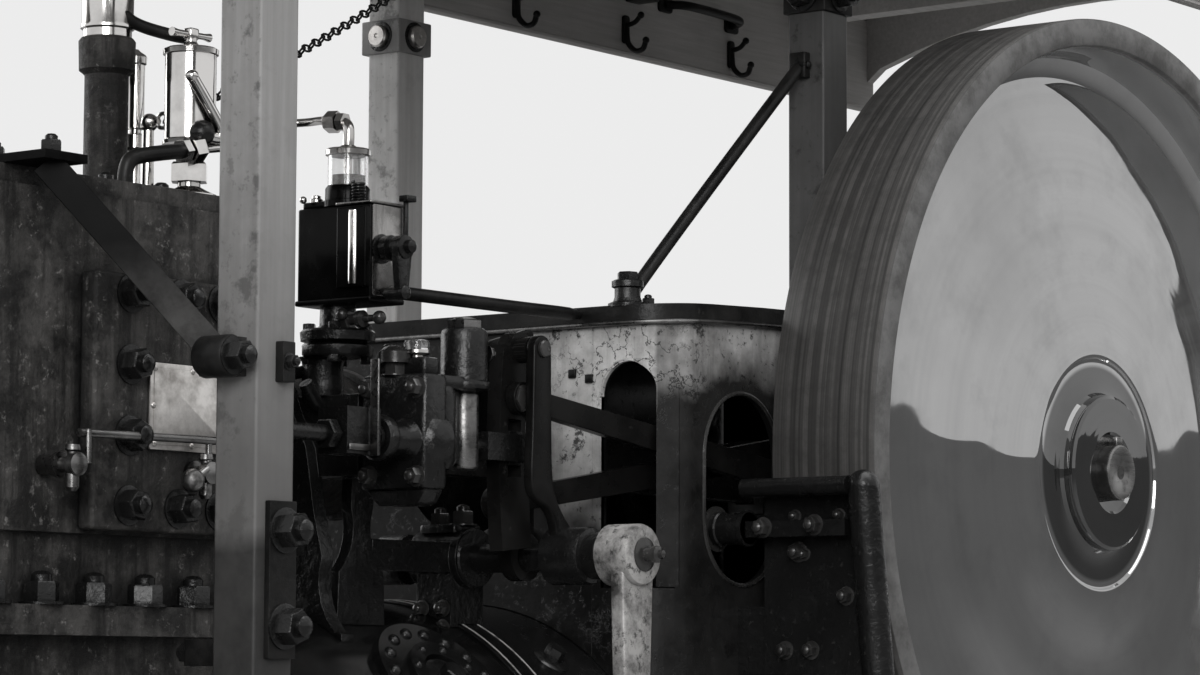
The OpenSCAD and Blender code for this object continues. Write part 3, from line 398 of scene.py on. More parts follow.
class Nodes:
    """A short way to lay out a material's nodes."""

    def __init__(self, name):
        self.material = bpy.data.materials.new(name)
        self.material.use_nodes = True
        self.tree = self.material.node_tree
        self.shader = self.tree.nodes["Principled BSDF"]
        here = self.add("ShaderNodeTexCoord")
        self.place, self.facing = here.outputs["Object"], here.outputs["Normal"]

    def add(self, kind, inputs=None, **settings):
        node = self.tree.nodes.new(kind)
        for key, value in settings.items():
            setattr(node, key, value)
        for key, value in (inputs or {}).items():
            if isinstance(value, bpy.types.NodeSocket):
                self.tree.links.new(value, node.inputs[key])
            else:
                node.inputs[key].default_value = value
        return node

    def parts(self, of=None):
        """The place's x, y and z, or another vector's."""
        return self.add("ShaderNodeSeparateXYZ", {0: of or self.place}).outputs

    def vector(self, *values):
        return self.add("ShaderNodeCombineXYZ", dict(enumerate(values))).outputs[0]

    def stretch(self, scale):
        """The place, stretched, for streaks and grain."""
        return self.add("ShaderNodeMapping", {"Vector": self.place, "Scale": scale}).outputs[0]

    def noise(self, scale, detail=4.0, rough=0.55, at=None):
        return self.add("ShaderNodeTexNoise", {"Vector": at or self.place, "Scale": scale,
                                               "Detail": detail, "Roughness": rough}).outputs[0]

    def span(self, value, low, high, to_low=0.0, to_high=1.0):
        """A value from low to high carried to another span, and held there."""
        return self.add("ShaderNodeMapRange", {0: value, 1: low, 2: high, 3: to_low,
                                               4: to_high}).outputs[0]

    def patch(self, scale, detail, rough, low, high):
        """Patches: 0 where a noise is below low and 1 where it is above high."""
        return self.span(self.noise(scale, detail, rough), low, high)

    def sums(self, kind, a, b=0.0):
        return self.add("ShaderNodeMath", {0: a, 1: b}, operation=kind).outputs[0]

    def plus(self, a, b):
        return self.sums("ADD", a, b)

    def minus(self, a, b):
        return self.sums("SUBTRACT", a, b)

    def times(self, a, b):
        return self.sums("MULTIPLY", a, b)

    def most(self, a, b):
        return self.sums("MAXIMUM", a, b)

    def length(self, a, b):
        """Root of a squared and b squared."""
        return self.sums("SQRT", self.plus(self.times(a, a), self.times(b, b)))

    def mix(self, share, a, b):
        """Colour a where share is 0 and b where it is 1."""
        node = self.add("ShaderNodeMix", {0: share, 6: a, 7: b}, data_type="RGBA")
        return node.outputs[2]

    def set(self, **inputs):
        for key, value in inputs.items():
            socket = self.shader.inputs[key.replace("_", " ")]
            if isinstance(value, bpy.types.NodeSocket):
                self.tree.links.new(value, socket)
            else:
                socket.default_value = value

    def bump(self, height, strength, distance=0.001):
        node = self.add("ShaderNodeBump", {"Height": height, "Strength": strength,
                                           "Distance": distance})
        self.tree.links.new(node.outputs[0], self.shader.inputs["Normal"])

    def corner_shade(self, reach=0.03):
        """Painted shade: 1 in corners and 0 in the open, from ambient occlusion."""
        node = self.add("ShaderNodeAmbientOcclusion", {"Distance": reach}, samples=6)
        return self.span(node.outputs["AO"], 0.35, 0.9, 1.0, 0.0)

    def height(self, wander=0.1, scale=5.0):
        """Height above the frame's origin, wandering by a noise."""
        return self.plus(self.parts()[2], self.times(self.noise(scale, 5, 0.6), wander))


def grey(v, warm=0.0):
    """A grey of one brightness, a little warm or cold."""
    return (v * (1 + warm), v, v * (1 - warm), 1.0)


FINISHES, SLOT_OF, made_finishes = {}, {}, {}


def finish_maker(slot):
    """Lists a finish and its slot by its function's name, and keeps it once it is made."""
    def wrap(build):
        name = build.__name__

        def get():
            if name not in made_finishes:
                nodes = Nodes(name)
                build(nodes)
                made_finishes[name] = nodes.material
            return made_finishes[name]
        FINISHES[name], SLOT_OF[name] = get, slot
        return get
    return wrap


@finish_maker("boiler_black")
def gloss_black(n):
    """Black paint under varnish, with faint smears and settled dust."""
    smear = n.patch(3.5, 6, 0.6, 0.35, 0.7)
    dust = n.patch(38, 5, 0.7, 0.5, 0.72)
    n.set(Base_Color=n.mix(n.times(n.plus(smear, dust), 0.35), grey(0.005), grey(0.018)),
          Roughness=n.plus(n.span(smear, 0, 1, 0.12, 0.26), n.times(dust, 0.1)),
          Specular_IOR_Level=0.3, Coat_Weight=0.15, Coat_Roughness=0.08)
    n.bump(n.noise(7, 2, 0.4), 0.05, 0.004)


@finish_maker("frame_black")
def worn_black(n):
    """Black paint gone dull, greasy and gritty, with painted shade darkening its corners."""
    patch = n.patch(14, 7, 0.65, 0.42, 0.66)
    grit = n.patch(160, 4, 0.7, 0.45, 0.7)
    colour = n.mix(patch, grey(0.006), grey(0.018, 0.03))
    colour = n.mix(n.span(n.noise(48, 6, 0.7), 0.63, 0.72, 0.0, 0.35), colour, grey(0.08, 0.03))
    # Painted shade: corners darkened to near black by ambient occlusion.
    n.set(Base_Color=n.mix(n.times(n.corner_shade(), 0.7), colour, grey(0.005)),
          Roughness=n.span(n.plus(patch, grit), 0, 2, 0.28, 0.55), Specular_IOR_Level=0.17)
    n.bump(n.plus(n.times(grit, 0.3), n.noise(40, 4, 0.6)), 0.25, 0.0012)


@finish_maker("frame_black")
def oiled_black(n):
    """Black castings wet with oil: smooth and shining where it lies, gritty between."""
    lump = n.noise(22, 5, 0.55)
    wet = n.patch(15, 5, 0.6, 0.36, 0.6)
    grit = n.patch(95, 6, 0.75, 0.6, 0.7)
    colour = n.mix(n.times(grit, 0.3), grey(0.007), grey(0.09, 0.03))
    # Painted shade: corners darkened to near black by ambient occlusion.
    n.set(Base_Color=n.mix(n.times(n.corner_shade(), 0.8), colour, grey(0.004)),
          Roughness=n.span(n.minus(wet, grit), -0.4, 1.0, 0.42, 0.15), Specular_IOR_Level=0.26,
          Coat_Weight=0.1, Coat_Roughness=0.06)
    n.bump(n.plus(n.times(lump, 2.2), n.noise(80, 5, 0.65)), 0.7, 0.0022)


@finish_maker("bright_steel")
def black_steel(n):
    """Rods and levers: smooth dark steel with a film of oil and faint draw marks."""
    film = n.patch(12, 5, 0.6, 0.38, 0.66)
    spot = n.patch(55, 5, 0.7, 0.64, 0.72)
    colour = n.mix(film, grey(0.004, 0.02), grey(0.01, 0.03))
    n.set(Base_Color=n.mix(n.times(spot, 0.35), colour, grey(0.06, 0.02)),
          Roughness=n.span(film, 0, 1, 0.22, 0.36), Specular_IOR_Level=0.1)
    n.bump(n.noise(30, 4, 0.5), 0.12, 0.0008)


@finish_maker("frame_black")
def bar_black(n):
    """Flat bar: dull black, its paint rubbed pale towards the foot."""
    patch = n.patch(16, 6, 0.68, 0.4, 0.64)
    low = n.span(n.height(0.1, 6.0), 0.76, 0.86, 1.0, 0.0)
    foot = n.mix(patch, grey(0.06, 0.02), grey(0.018, 0.02))
    n.set(Base_Color=n.mix(low, n.mix(patch, grey(0.002), grey(0.006)), foot),
          Roughness=n.span(patch, 0, 1, 0.4, 0.55), Specular_IOR_Level=0.04)
    n.bump(n.noise(60, 5, 0.6), 0.2, 0.001)


@finish_maker("oily_steel")
def pale_iron(n):
    """Old paint rubbed to bare iron, matt and pale, with painted shade darkening its corners."""
    film = n.patch(17, 8, 0.72, 0.42, 0.64)
    spot = n.patch(60, 5, 0.72, 0.54, 0.64)
    colour = n.mix(film, grey(0.45, 0.02), grey(0.07, 0.02))
    colour = n.mix(n.times(spot, 0.85), colour, grey(0.02, 0.03))
    # Painted shade: corners darkened by ambient occlusion.
    n.set(Base_Color=n.mix(n.times(n.corner_shade(0.02), 0.8), colour, grey(0.015)), Metallic=0.25,
          Roughness=n.span(film, 0, 1, 0.42, 0.56), Specular_IOR_Level=0.4)
    n.bump(n.plus(n.noise(70, 6, 0.6), n.times(spot, -0.4)), 0.3, 0.0012)


@finish_maker("plate_grey")
def pale_paint(n):
    """Pale paint on the casing: bright, blotched, cracked and run on its front, black
    with grease low down and round the rolled corners, black higher up behind the
    valve gear with grease and painted shade, black on the plates' inner faces, and
    darkened by painted shade in its corners."""
    x, y = n.parts()[:2]
    corner_x, corner_y = float(CRANK[0]) + CORNER_X / 1000, CORNER_Y / 1000
    ahead = n.most(n.minus(x, corner_x), 0.0)
    aside = n.most(n.minus(n.sums("ABSOLUTE", y), corner_y), 0.0)
    outside = n.span(n.length(ahead, aside), 0.0735, 0.0745)     # the corner's inner radius
    front = n.span(x, 1.418, 1.438)
    cloud = n.patch(8, 8, 0.7, 0.4, 0.64)
    fleck = n.patch(85, 5, 0.75, 0.59, 0.65)
    blot = n.patch(14, 9, 0.74, 0.575, 0.61)
    ridge = n.sums("ABSOLUTE", n.minus(n.noise(15, 6, 0.62), 0.5))
    crack = n.times(n.span(ridge, 0.003, 0.012, 1.0, 0.0), n.patch(6, 3, 0.5, 0.53, 0.6))
    run = n.span(n.noise(3.0, 6, 0.7, at=n.stretch((9.0, 9.0, 0.8))), 0.5, 0.68)
    colour = n.mix(cloud, grey(0.62, 0.01), grey(0.26, 0.02))
    colour = n.mix(n.times(run, 0.45), colour, grey(0.09, 0.02))
    colour = n.mix(n.times(fleck, 0.8), colour, grey(0.03, 0.02))
    colour = n.mix(n.times(n.most(blot, crack), 0.9), colour, grey(0.016, 0.02))
    # Grease and painted shade: below y 0.12 m, behind the valve gear, the black rises 0.34 m
    # higher.
    gear = n.span(n.plus(y, n.times(n.noise(5, 4, 0.6), 0.1)), 0.12, 0.22, 0.34, 0.0)
    level = n.minus(n.minus(n.height(0.26), n.span(front, 0, 1, 0.21, 0.0)), gear)
    low = n.span(level, 0.64, 0.74, 1.0, 0.0)
    black = n.mix(n.times(cloud, n.minus(1.0, blot)), grey(0.005, 0.02), grey(0.017, 0.02))
    colour = n.mix(low, colour, black)
    # The plates' inner faces are black.
    colour = n.mix(outside, grey(0.006), colour)
    # Painted shade: corners darkened by ambient occlusion.
    n.set(Base_Color=n.mix(n.times(n.corner_shade(0.04), 0.7), colour, grey(0.01)),
          Roughness=n.span(n.plus(cloud, fleck), 0, 2, 0.3, 0.52), Specular_IOR_Level=0.2,
          Coat_Weight=0.06, Coat_Roughness=0.2)
    n.bump(n.plus(n.noise(60, 6, 0.6), n.times(n.plus(fleck, n.most(blot, crack)), -0.8)), 0.35,
           0.0015)


@finish_maker("rough_iron")
def cast_rough(n):
    """Rough iron casting with old paint, soot and runs of burnt oil, darkened by painted shade in
    its corners.
    """
    grain = n.noise(100, 8, 0.78)
    lump = n.noise(24, 5, 0.6)
    patch = n.patch(14, 8, 0.72, 0.42, 0.6)
    run = n.span(n.noise(4, 6, 0.7, at=n.stretch((8.0, 8.0, 0.6))), 0.48, 0.62)
    fleck = n.patch(64, 7, 0.8, 0.58, 0.64)
    colour = n.mix(patch, grey(0.011, 0.03), grey(0.068, 0.04))
    colour = n.mix(n.times(fleck, 0.65), colour, grey(0.24, 0.03))
    colour = n.mix(n.times(run, 0.8), colour, grey(0.006, 0.03))
    # Painted shade: corners darkened by ambient occlusion.
    n.set(Base_Color=n.mix(n.times(n.corner_shade(0.04), 0.85), colour, grey(0.005)),
          Roughness=n.span(grain, 0.3, 0.7, 0.34, 0.66), Specular_IOR_Level=0.22)
    n.bump(n.plus(grain, n.times(lump, 2.0)), 0.9, 0.003)


@finish_maker("rough_iron")
def soot(n):
    """Iron that has been in the fire."""
    grain = n.noise(70, 7, 0.7)
    n.set(Base_Color=n.mix(n.span(grain, 0.35, 0.65), grey(0.01), grey(0.04, 0.05)), Roughness=0.9)
    n.bump(grain, 0.6, 0.003)


@finish_maker("bright_steel")
def machined(n):
    """Machined steel, oiled, with tool marks, brown spots and painted shade in its corners."""
    line = n.noise(6, 3, 0.5, at=n.stretch((1.0, 30.0, 30.0)))
    spot = n.patch(42, 6, 0.7, 0.52, 0.68)
    film = n.patch(12, 4, 0.6, 0.35, 0.7)
    colour = n.mix(film, grey(0.26, 0.01), grey(0.09, 0.02))
    # Brown spots, and painted shade in the corners from ambient occlusion, both darken the steel.
    n.set(Base_Color=n.mix(n.times(n.most(spot, n.corner_shade(0.02)), 0.75), colour, grey(0.03, 0.03)),
          Metallic=1.0, Roughness=n.plus(n.span(line, 0.3, 0.7, 0.22, 0.36), n.times(spot, 0.2)))
    n.bump(line, 0.12, 0.0006)


@finish_maker("oily_steel")
def greasy(n):
    """Dark steel under grease, wet in places."""
    film = n.patch(18, 6, 0.62, 0.38, 0.66)
    fleck = n.patch(100, 5, 0.7, 0.6, 0.7)
    colour = n.mix(film, grey(0.04, 0.02), grey(0.012, 0.03))
    n.set(Base_Color=n.mix(n.times(fleck, 0.3), colour, grey(0.14, 0.02)), Metallic=0.25,
          Roughness=n.span(n.plus(film, fleck), 0, 2, 0.2, 0.46), Specular_IOR_Level=0.5)
    n.bump(n.plus(n.noise(55, 5, 0.6), n.times(film, 0.8)), 0.28, 0.0014)


@finish_maker("polished_brass")
def polished(n):
    """Polished bright metal with fine scratches, a trace of tarnish and painted shade in its
    corners.
    """
    film = n.patch(16, 5, 0.6, 0.42, 0.7)
    line = n.noise(9, 3, 0.5, at=n.stretch((14.0, 14.0, 1.5)))
    # Tarnish patches, and painted shade in the corners from ambient occlusion, darken the metal.
    n.set(Base_Color=n.mix(n.most(n.times(film, 0.35), n.times(n.corner_shade(0.012), 0.8)),
                           grey(0.7, 0.02), grey(0.16, 0.05)), Metallic=1.0,
          Roughness=n.span(n.plus(film, line), 0.3, 1.6, 0.06, 0.24))
    n.bump(line, 0.04, 0.0004)


@finish_maker("polished_brass")
def dull_brass(n):
    """Bright metal left to go dull, with painted shade darkening its corners."""
    film = n.patch(26, 6, 0.65, 0.38, 0.66)
    # Dull patches, and painted shade in the corners from ambient occlusion, darken the metal.
    n.set(Base_Color=n.mix(n.most(film, n.corner_shade(0.012)), grey(0.68, 0.03), grey(0.3, 0.05)),
          Metallic=1.0, Roughness=n.span(film, 0, 1, 0.3, 0.48))
    n.bump(n.noise(80, 4, 0.6), 0.15, 0.0008)


@finish_maker("polished_brass")
def smeared_metal(n):
    """Bright sheet smeared with oil, so that its shine comes and goes."""
    film = n.patch(20, 6, 0.66, 0.4, 0.62)
    drip = n.span(n.noise(5, 5, 0.65, at=n.stretch((9.0, 9.0, 1.0))), 0.5, 0.66)
    n.set(Base_Color=n.mix(n.most(n.times(film, 0.8), n.times(drip, 0.8)), grey(0.34, 0.02),
                           grey(0.09, 0.03)), Metallic=1.0,
          Roughness=n.span(n.plus(film, drip), 0, 2, 0.2, 0.42))
    n.bump(n.noise(45, 5, 0.6), 0.12, 0.0008)


@finish_maker("wheel_black")
def wheel_gloss(n):
    """Mirror gloss on the disc, bare worn iron on the rim and tread, told apart by
    radius; the tread's marks run round it, and the hub is darkened as a painted
    reflection of dark surroundings."""
    x, y, z = n.parts()
    dx = n.minus(x, float(CRANK[0]))
    dz = n.minus(z, float(CRANK[2]))
    radius = n.length(dx, dz)
    rim = n.span(radius, 0.6435, 0.6445)
    tread = n.span(radius, 0.6838, 0.6852)
    groove = n.noise(95, 5, 0.7, at=n.vector(y, radius))
    wear = n.patch(24, 7, 0.7, 0.4, 0.66)
    smear = n.patch(2.6, 5, 0.6, 0.42, 0.66)
    dull = n.patch(9, 6, 0.65, 0.5, 0.68)
    bare = n.mix(wear, grey(0.15, 0.01), grey(0.075, 0.02))
    band = n.mix(n.span(groove, 0.36, 0.66), grey(0.018, 0.02), grey(0.1, 0.03))
    bare = n.mix(tread, bare, n.mix(n.times(wear, 0.6), band, grey(0.024, 0.03)))
    spin = n.noise(15, 6, 0.7, at=n.vector(radius))
    paint = n.mix(smear, grey(0.44), grey(0.36))
    paint = n.mix(n.times(n.plus(dull, n.span(spin, 0.4, 0.7)), 0.3), paint, grey(0.25))
    # Painted reflection: the hub inside 0.16 m is painted darker, standing in for the dark
    # surroundings its gloss mirrors.
    paint = n.mix(n.span(radius, 0.16, 0.166, 0.75, 0.0), paint, grey(0.04))
    n.set(Base_Color=n.mix(rim, paint, bare), Metallic=n.span(rim, 0, 1, 0.9, 0.08),
          Roughness=n.plus(n.span(n.plus(smear, dull), 0, 2, 0.02, 0.1),
                           n.times(rim, n.span(wear, 0, 1, 0.36, 0.5))), Specular_IOR_Level=0.3)
    wave = n.noise(1.7, 2, 0.45, at=n.stretch((1.0, 1.0, 1.5)))
    spun = n.noise(34, 2, 0.5, at=n.vector(radius))
    wave = n.plus(wave, n.times(spun, 0.006))
    n.bump(n.plus(wave, n.times(n.times(tread, groove), 0.02)), 0.5, 0.03)


def post_coat(n, light, shade):
    """Brushed paint on a square post: spotted with oil on the faces across X, cleaner
    on those across Y, darker downwards and black below the splash line."""
    brush = n.noise(7, 5, 0.6, at=n.stretch((12.0, 12.0, 0.5)))
    patch = n.patch(11, 7, 0.7, 0.42, 0.68)
    side = n.span(n.sums("ABSOLUTE", n.parts(n.facing)[0]), 0.6, 0.9)
    spots = n.most(n.patch(19, 7, 0.68, 0.56, 0.64), n.times(n.patch(60, 5, 0.7, 0.58, 0.66), 0.6))
    spots = n.times(spots, n.span(side, 0, 1, 0.1, 0.7))
    down = n.span(n.height(0.3, 4.0), 0.7, 1.08, 0.8, 0.0)
    low = n.span(n.height(0.03, 9.0), 0.485, 0.51, 0.9, 0.0)
    colour = n.mix(n.span(brush, 0.35, 0.7), grey(light, 0.01), grey(light * 0.8, 0.015))
    colour = n.mix(n.times(patch, n.span(side, 0, 1, 0.15, 0.45)), colour,
                   grey(light * 0.5, 0.015))
    colour = n.mix(spots, colour, grey(light * 0.2, 0.02))
    colour = n.mix(n.times(down, shade), colour, grey(light * 0.3, 0.02))
    n.set(Base_Color=n.mix(low, colour, n.mix(patch, grey(0.034, 0.02), grey(0.012))),
          Roughness=n.span(patch, 0, 1, 0.36, 0.56), Specular_IOR_Level=0.22)
    n.bump(n.plus(n.noise(85, 5, 0.6), n.times(brush, 0.5)), 0.15, 0.0008)


@finish_maker("post_grey")
def post_paint(n):
    """Pale grey paint of the posts."""
    post_coat(n, 0.31, 1.0)


@finish_maker("post_grey")
def post_painted_light(n):
    """Painted light: a paler copy of the post paint, brightening the post at the far rear corner,
    which the lamps light less.
    """
    post_coat(n, 0.68, 0.5)


@finish_maker("post_grey")
def post_painted_shade(n):
    """Painted shade: a darker copy of the post paint, for the post behind the flywheel, standing
    in for the shadow it lies in.
    """
    post_coat(n, 0.075, 0.6)


@finish_maker("canopy_paint")
def board_paint(n):
    """Painted boards, their grain showing through along X."""
    grain = n.noise(5, 8, 0.65, at=n.stretch((1.2, 26.0, 26.0)))
    patch = n.patch(5, 5, 0.6, 0.35, 0.7)
    colour = n.mix(n.span(grain, 0.35, 0.7), grey(0.53, 0.02), grey(0.4, 0.03))
    n.set(Base_Color=n.mix(n.times(patch, 0.5), colour, grey(0.31, 0.03)),
          Roughness=n.span(grain, 0.3, 0.7, 0.62, 0.8), Specular_IOR_Level=0.15)
    n.bump(grain, 0.3, 0.0012)


@finish_maker("oiler_black")
def enamel(n):
    """Thick black enamel, slightly smeared."""
    smear = n.patch(18, 5, 0.6, 0.4, 0.7)
    n.set(Base_Color=n.mix(n.times(smear, 0.5), grey(0.002), grey(0.005)),
          Roughness=n.span(smear, 0, 1, 0.18, 0.32), Specular_IOR_Level=0.07, Coat_Weight=0.02,
          Coat_Roughness=0.1)
    n.bump(n.noise(30, 3, 0.5), 0.06, 0.001)


@finish_maker("cup_glass")
def clear_glass(n):
    """Clear glass with a light film of oil."""
    n.set(Base_Color=grey(0.92), Transmission_Weight=0.94, IOR=1.45,
          Roughness=n.span(n.noise(30, 4, 0.6), 0.4, 0.7, 0.0, 0.08))


@finish_maker("cup_glass")
def lubricant(n):
    """Dark oil with a clear surface."""
    n.set(Base_Color=n.mix(n.patch(40, 3, 0.5, 0.4, 0.6), grey(0.05, 0.1), grey(0.11, 0.1)),
          Roughness=0.06, Coat_Weight=0.4)


@finish_maker("boiler_black")
def lining(n):
    """A thin painted line, a little rubbed."""
    n.set(Base_Color=n.mix(n.patch(55, 5, 0.7, 0.5, 0.66), grey(0.5, 0.02), grey(0.16, 0.02)),
          Roughness=0.3, Coat_Weight=0.3)


@finish_maker("plate_grey")
def dial_white(n):
    """White enamel on a gauge's dial."""
    n.set(Base_Color=n.mix(n.patch(30, 4, 0.6, 0.5, 0.7), grey(0.7), grey(0.55, 0.03)),
          Roughness=0.25)


# The finish of each slot's CAD nodes, and the nodes that have another one
NODE_FINISH = {
    "boiler_black": "gloss_black", "frame_black": "worn_black", "plate_grey": "pale_paint",
    "rough_iron": "cast_rough", "bright_steel": "machined", "oily_steel": "greasy",
    "polished_brass": "polished", "wheel_black": "wheel_gloss", "post_grey": "post_paint",
    "canopy_paint": "board_paint", "oiler_black": "enamel", "cup_glass": "clear_glass",
}
OWN_FINISH = {
    "eccentric_rod_upper": "black_steel", "eccentric_rod_lower": "black_steel",
    "valve_rod": "oiled_black", "connecting_rod": "greasy", "expansion_link": "black_steel",
    "brace_bars": "bar_black", "motion_bracket": "oiled_black", "wheel_guard": "oiled_black",
    # The two rear posts take a painted-shade copy and a painted-light copy of the post paint.
    "grate": "soot", "blank_plate": "dull_brass", "post_rear_left": "post_painted_shade",
    "post_rear_right": "post_painted_light",
}

# Widths in metres of the soft edges on the CAD's nodes, and of those on all the others
EDGE = {"oiler": 0.004, "expansion_link": 0.002, "cylinder_block": 0.006,
        "chest_cover": 0.005, "post_front_left": 0.004, "post_front_right": 0.004,
        "post_rear_left": 0.004, "post_rear_right": 0.004, "connecting_rod": 0.003,
        "motion_bracket": 0.003, "wheel_guard": 0.002}
PLAIN_EDGE = 0.0012
SAME_POINT = 0.00002        # triangles' corners closer than this are one point


# Sizes

class EngineStage(bpy.types.PropertyGroup):
    """The camera, lamps and floor."""
    lens: FloatProperty(name="Lens", default=108.57, unit="CAMERA",
                        description="Focal length on a 36 mm wide sensor")
    place: FloatVectorProperty(name="Camera", default=(5.370, 3.244, 0.328),
                               subtype="TRANSLATION", unit="LENGTH",
                               description="Where the camera stands")
    yaw: FloatProperty(name="Yaw", default=math.radians(52.58), subtype="ANGLE",
                       description="Turn of the view off the boiler's side")
    pitch: FloatProperty(name="Pitch", default=math.radians(5.38), subtype="ANGLE",
                         description="How far the view looks up")
    roll: FloatProperty(name="Roll", default=math.radians(0.22), subtype="ANGLE",
                        description="Tilt of the picture")
    cove: FloatProperty(name="Cove", default=7.5, min=0.0, max=12.0, unit="LENGTH",
                        description="How far the floor curves up at its rim")
    backdrop: FloatProperty(name="Backdrop", default=0.84, min=0.0, max=1.0, subtype="FACTOR",
                            description="Brightness of the backdrop")


class WheelSizes(bpy.types.PropertyGroup):
    """The flywheel's disc."""
    ripple: FloatProperty(name="Ripple", default=0.0009, min=0.0, max=0.003, unit="LENGTH",
                          description="Height of the waves spun into the disc")


class TrimSizes(bpy.types.PropertyGroup):
    """Nuts and studs."""
    stud: FloatProperty(name="Stud nuts", default=0.032, min=0.02, max=0.05, unit="LENGTH",
                        description="Width across the flats of the cover's nuts")


GROUPS = {"engine_stage": EngineStage, "engine_wheel": WheelSizes, "engine_trim": TrimSizes}


class EngineStep(bpy.types.Operator):
    """What every step of the build shares."""
    bl_options = {"REGISTER", "UNDO"}


class BuildStage(EngineStep):
    """Camera, lamps, floor and backdrop"""
    bl_idname = "engine.stage"
    bl_label = "Stage"

    def execute(self, context):
        s = context.scene.engine_stage
        cam = bpy.data.cameras.new("camera")
        cam.lens, cam.sensor_width, cam.sensor_fit = s.lens, 36.0, "HORIZONTAL"
        cam.clip_start, cam.clip_end = 0.1, 100.0
        obj = placed("camera", cam)
        level = math.cos(s.pitch)
        ahead = Vector((-math.sin(s.yaw) * level, -math.cos(s.yaw) * level, math.sin(s.pitch)))
        aside = Vector((-math.cos(s.yaw), math.sin(s.yaw), 0))
        up = aside.cross(ahead)
        right = math.cos(s.roll) * aside + math.sin(s.roll) * up
        top = -math.sin(s.roll) * aside + math.cos(s.roll) * up
        turn = Matrix((right, top, -ahead)).transposed().to_4x4()
        obj.matrix_world = Matrix.Translation(s.place) @ turn
        context.scene.camera = obj
        low = min(CAD_BOX[0][2], CAD_BOX[1][2])
        r = np.array([3.0, 12, 24, 32, 40, 50, 60, 70, 80, 90])
        level_r, rim_r, sides = 24, 90, 96
        t = whole_turn(sides)
        rise = s.cove * (np.maximum(r - level_r, 0) / (rim_r - level_r)) ** 2
        rings = np.stack([r[:, None] * np.cos(t) + 1, r[:, None] * np.sin(t),
                          rise[:, None] + 0 * t + low - 0.001], -1)
        mesh = bpy.data.meshes.new("floor")
        mesh.from_pydata(rings.reshape(-1, 3).tolist(), [], turned_over(net(len(r), sides))
                         + [tuple(range(sides))])
        mesh.shade_smooth()
        floor = placed("floor", mesh)
        paint = Nodes("floor_paint")
        seen = paint.add("ShaderNodeLightPath").outputs["Is Camera Ray"]
        paint.set(Base_Color=grey(0.38), Roughness=0.85, Emission_Color=grey(1.0),
                  Emission_Strength=paint.times(seen, 0.42))
        mesh.materials.append(paint.material)
        for name, where, to, size, power in (
                ("sky_panel", (1.5, 1.2, 5.2), (0.9, 0, 0.4), 5.0, 230.0),
                ("near_panel", (9.2, 5.6, 3.6), (1.2, 0.0, 0.5), 4.6, 560.0),
                ("rear_panel", (-4.0, -1.0, 5.6), (0.4, 0, 0.6), 3.0, 120.0),
                ("far_panel", (2.5, -5.0, 2.5), (1.0, 0, 0.5), 3.0, 90.0)):
            lamp = bpy.data.lights.new(name, "AREA")
            lamp.shape, lamp.size, lamp.energy = "SQUARE", size, power
            aim = (Vector(to) - Vector(where)).to_track_quat("-Z", "Y")
            placed(name, lamp).matrix_world = (Matrix.Translation(where)
                                               @ aim.to_matrix().to_4x4())
        world = bpy.data.worlds.new("studio")
        world.use_nodes = True
        tree = world.node_tree
        link = tree.links.new
        back = tree.nodes["Background"]
        back.inputs["Color"].default_value = grey(0.9)
        back.inputs["Strength"].default_value = 0.24
        seen = tree.nodes.new("ShaderNodeBackground")
        seen.inputs["Color"].default_value = grey(s.backdrop)
        rays = tree.nodes.new("ShaderNodeLightPath")
        both = [tree.nodes.new("ShaderNodeMath") for _ in range(2)]
        for m in both:
            m.operation = "MAXIMUM"
        link(rays.outputs["Is Camera Ray"], both[0].inputs[0])
        link(rays.outputs["Is Glossy Ray"], both[0].inputs[1])
        link(both[0].outputs[0], both[1].inputs[0])
        link(rays.outputs["Is Transmission Ray"], both[1].inputs[1])
        mixed = tree.nodes.new("ShaderNodeMixShader")
        link(both[1].outputs[0], mixed.inputs[0])
        link(back.outputs[0], mixed.inputs[1])
        link(seen.outputs[0], mixed.inputs[2])
        link(mixed.outputs[0], tree.nodes["World Output"].inputs[0])
        context.scene.world = world
        context.scene.view_settings.view_transform = "Standard"
        return {"FINISHED"}


class DressFrame(EngineStep):
    """Finishes and softened edges for the frame's own pieces"""
    bl_idname = "engine.frame"
    bl_label = "Frame finishes"

    def execute(self, context):
        slots = {s["node"]: s["material_slot"] for s in frame["record"]["subparts"]}
        for name, obj in frame["nodes"].items():
            obj.data.materials.clear()
            finish = OWN_FINISH.get(name) or NODE_FINISH[slots[name]]
            obj.data.materials.append(FINISHES[finish]())
            weld = obj.modifiers.new("weld", "WELD")
            weld.merge_threshold = SAME_POINT
            soft = obj.modifiers.new("soft_edges", "BEVEL")
            soft.width, soft.segments = EDGE.get(name, PLAIN_EDGE), 2
            soft.limit_method, soft.angle_limit = "ANGLE", math.radians(40)
            soft.harden_normals = False
            smooth = obj.modifiers.new("smooth", "WEIGHTED_NORMAL")
            smooth.keep_sharp = False
            obj.data.shade_smooth()
        return {"FINISHED"}


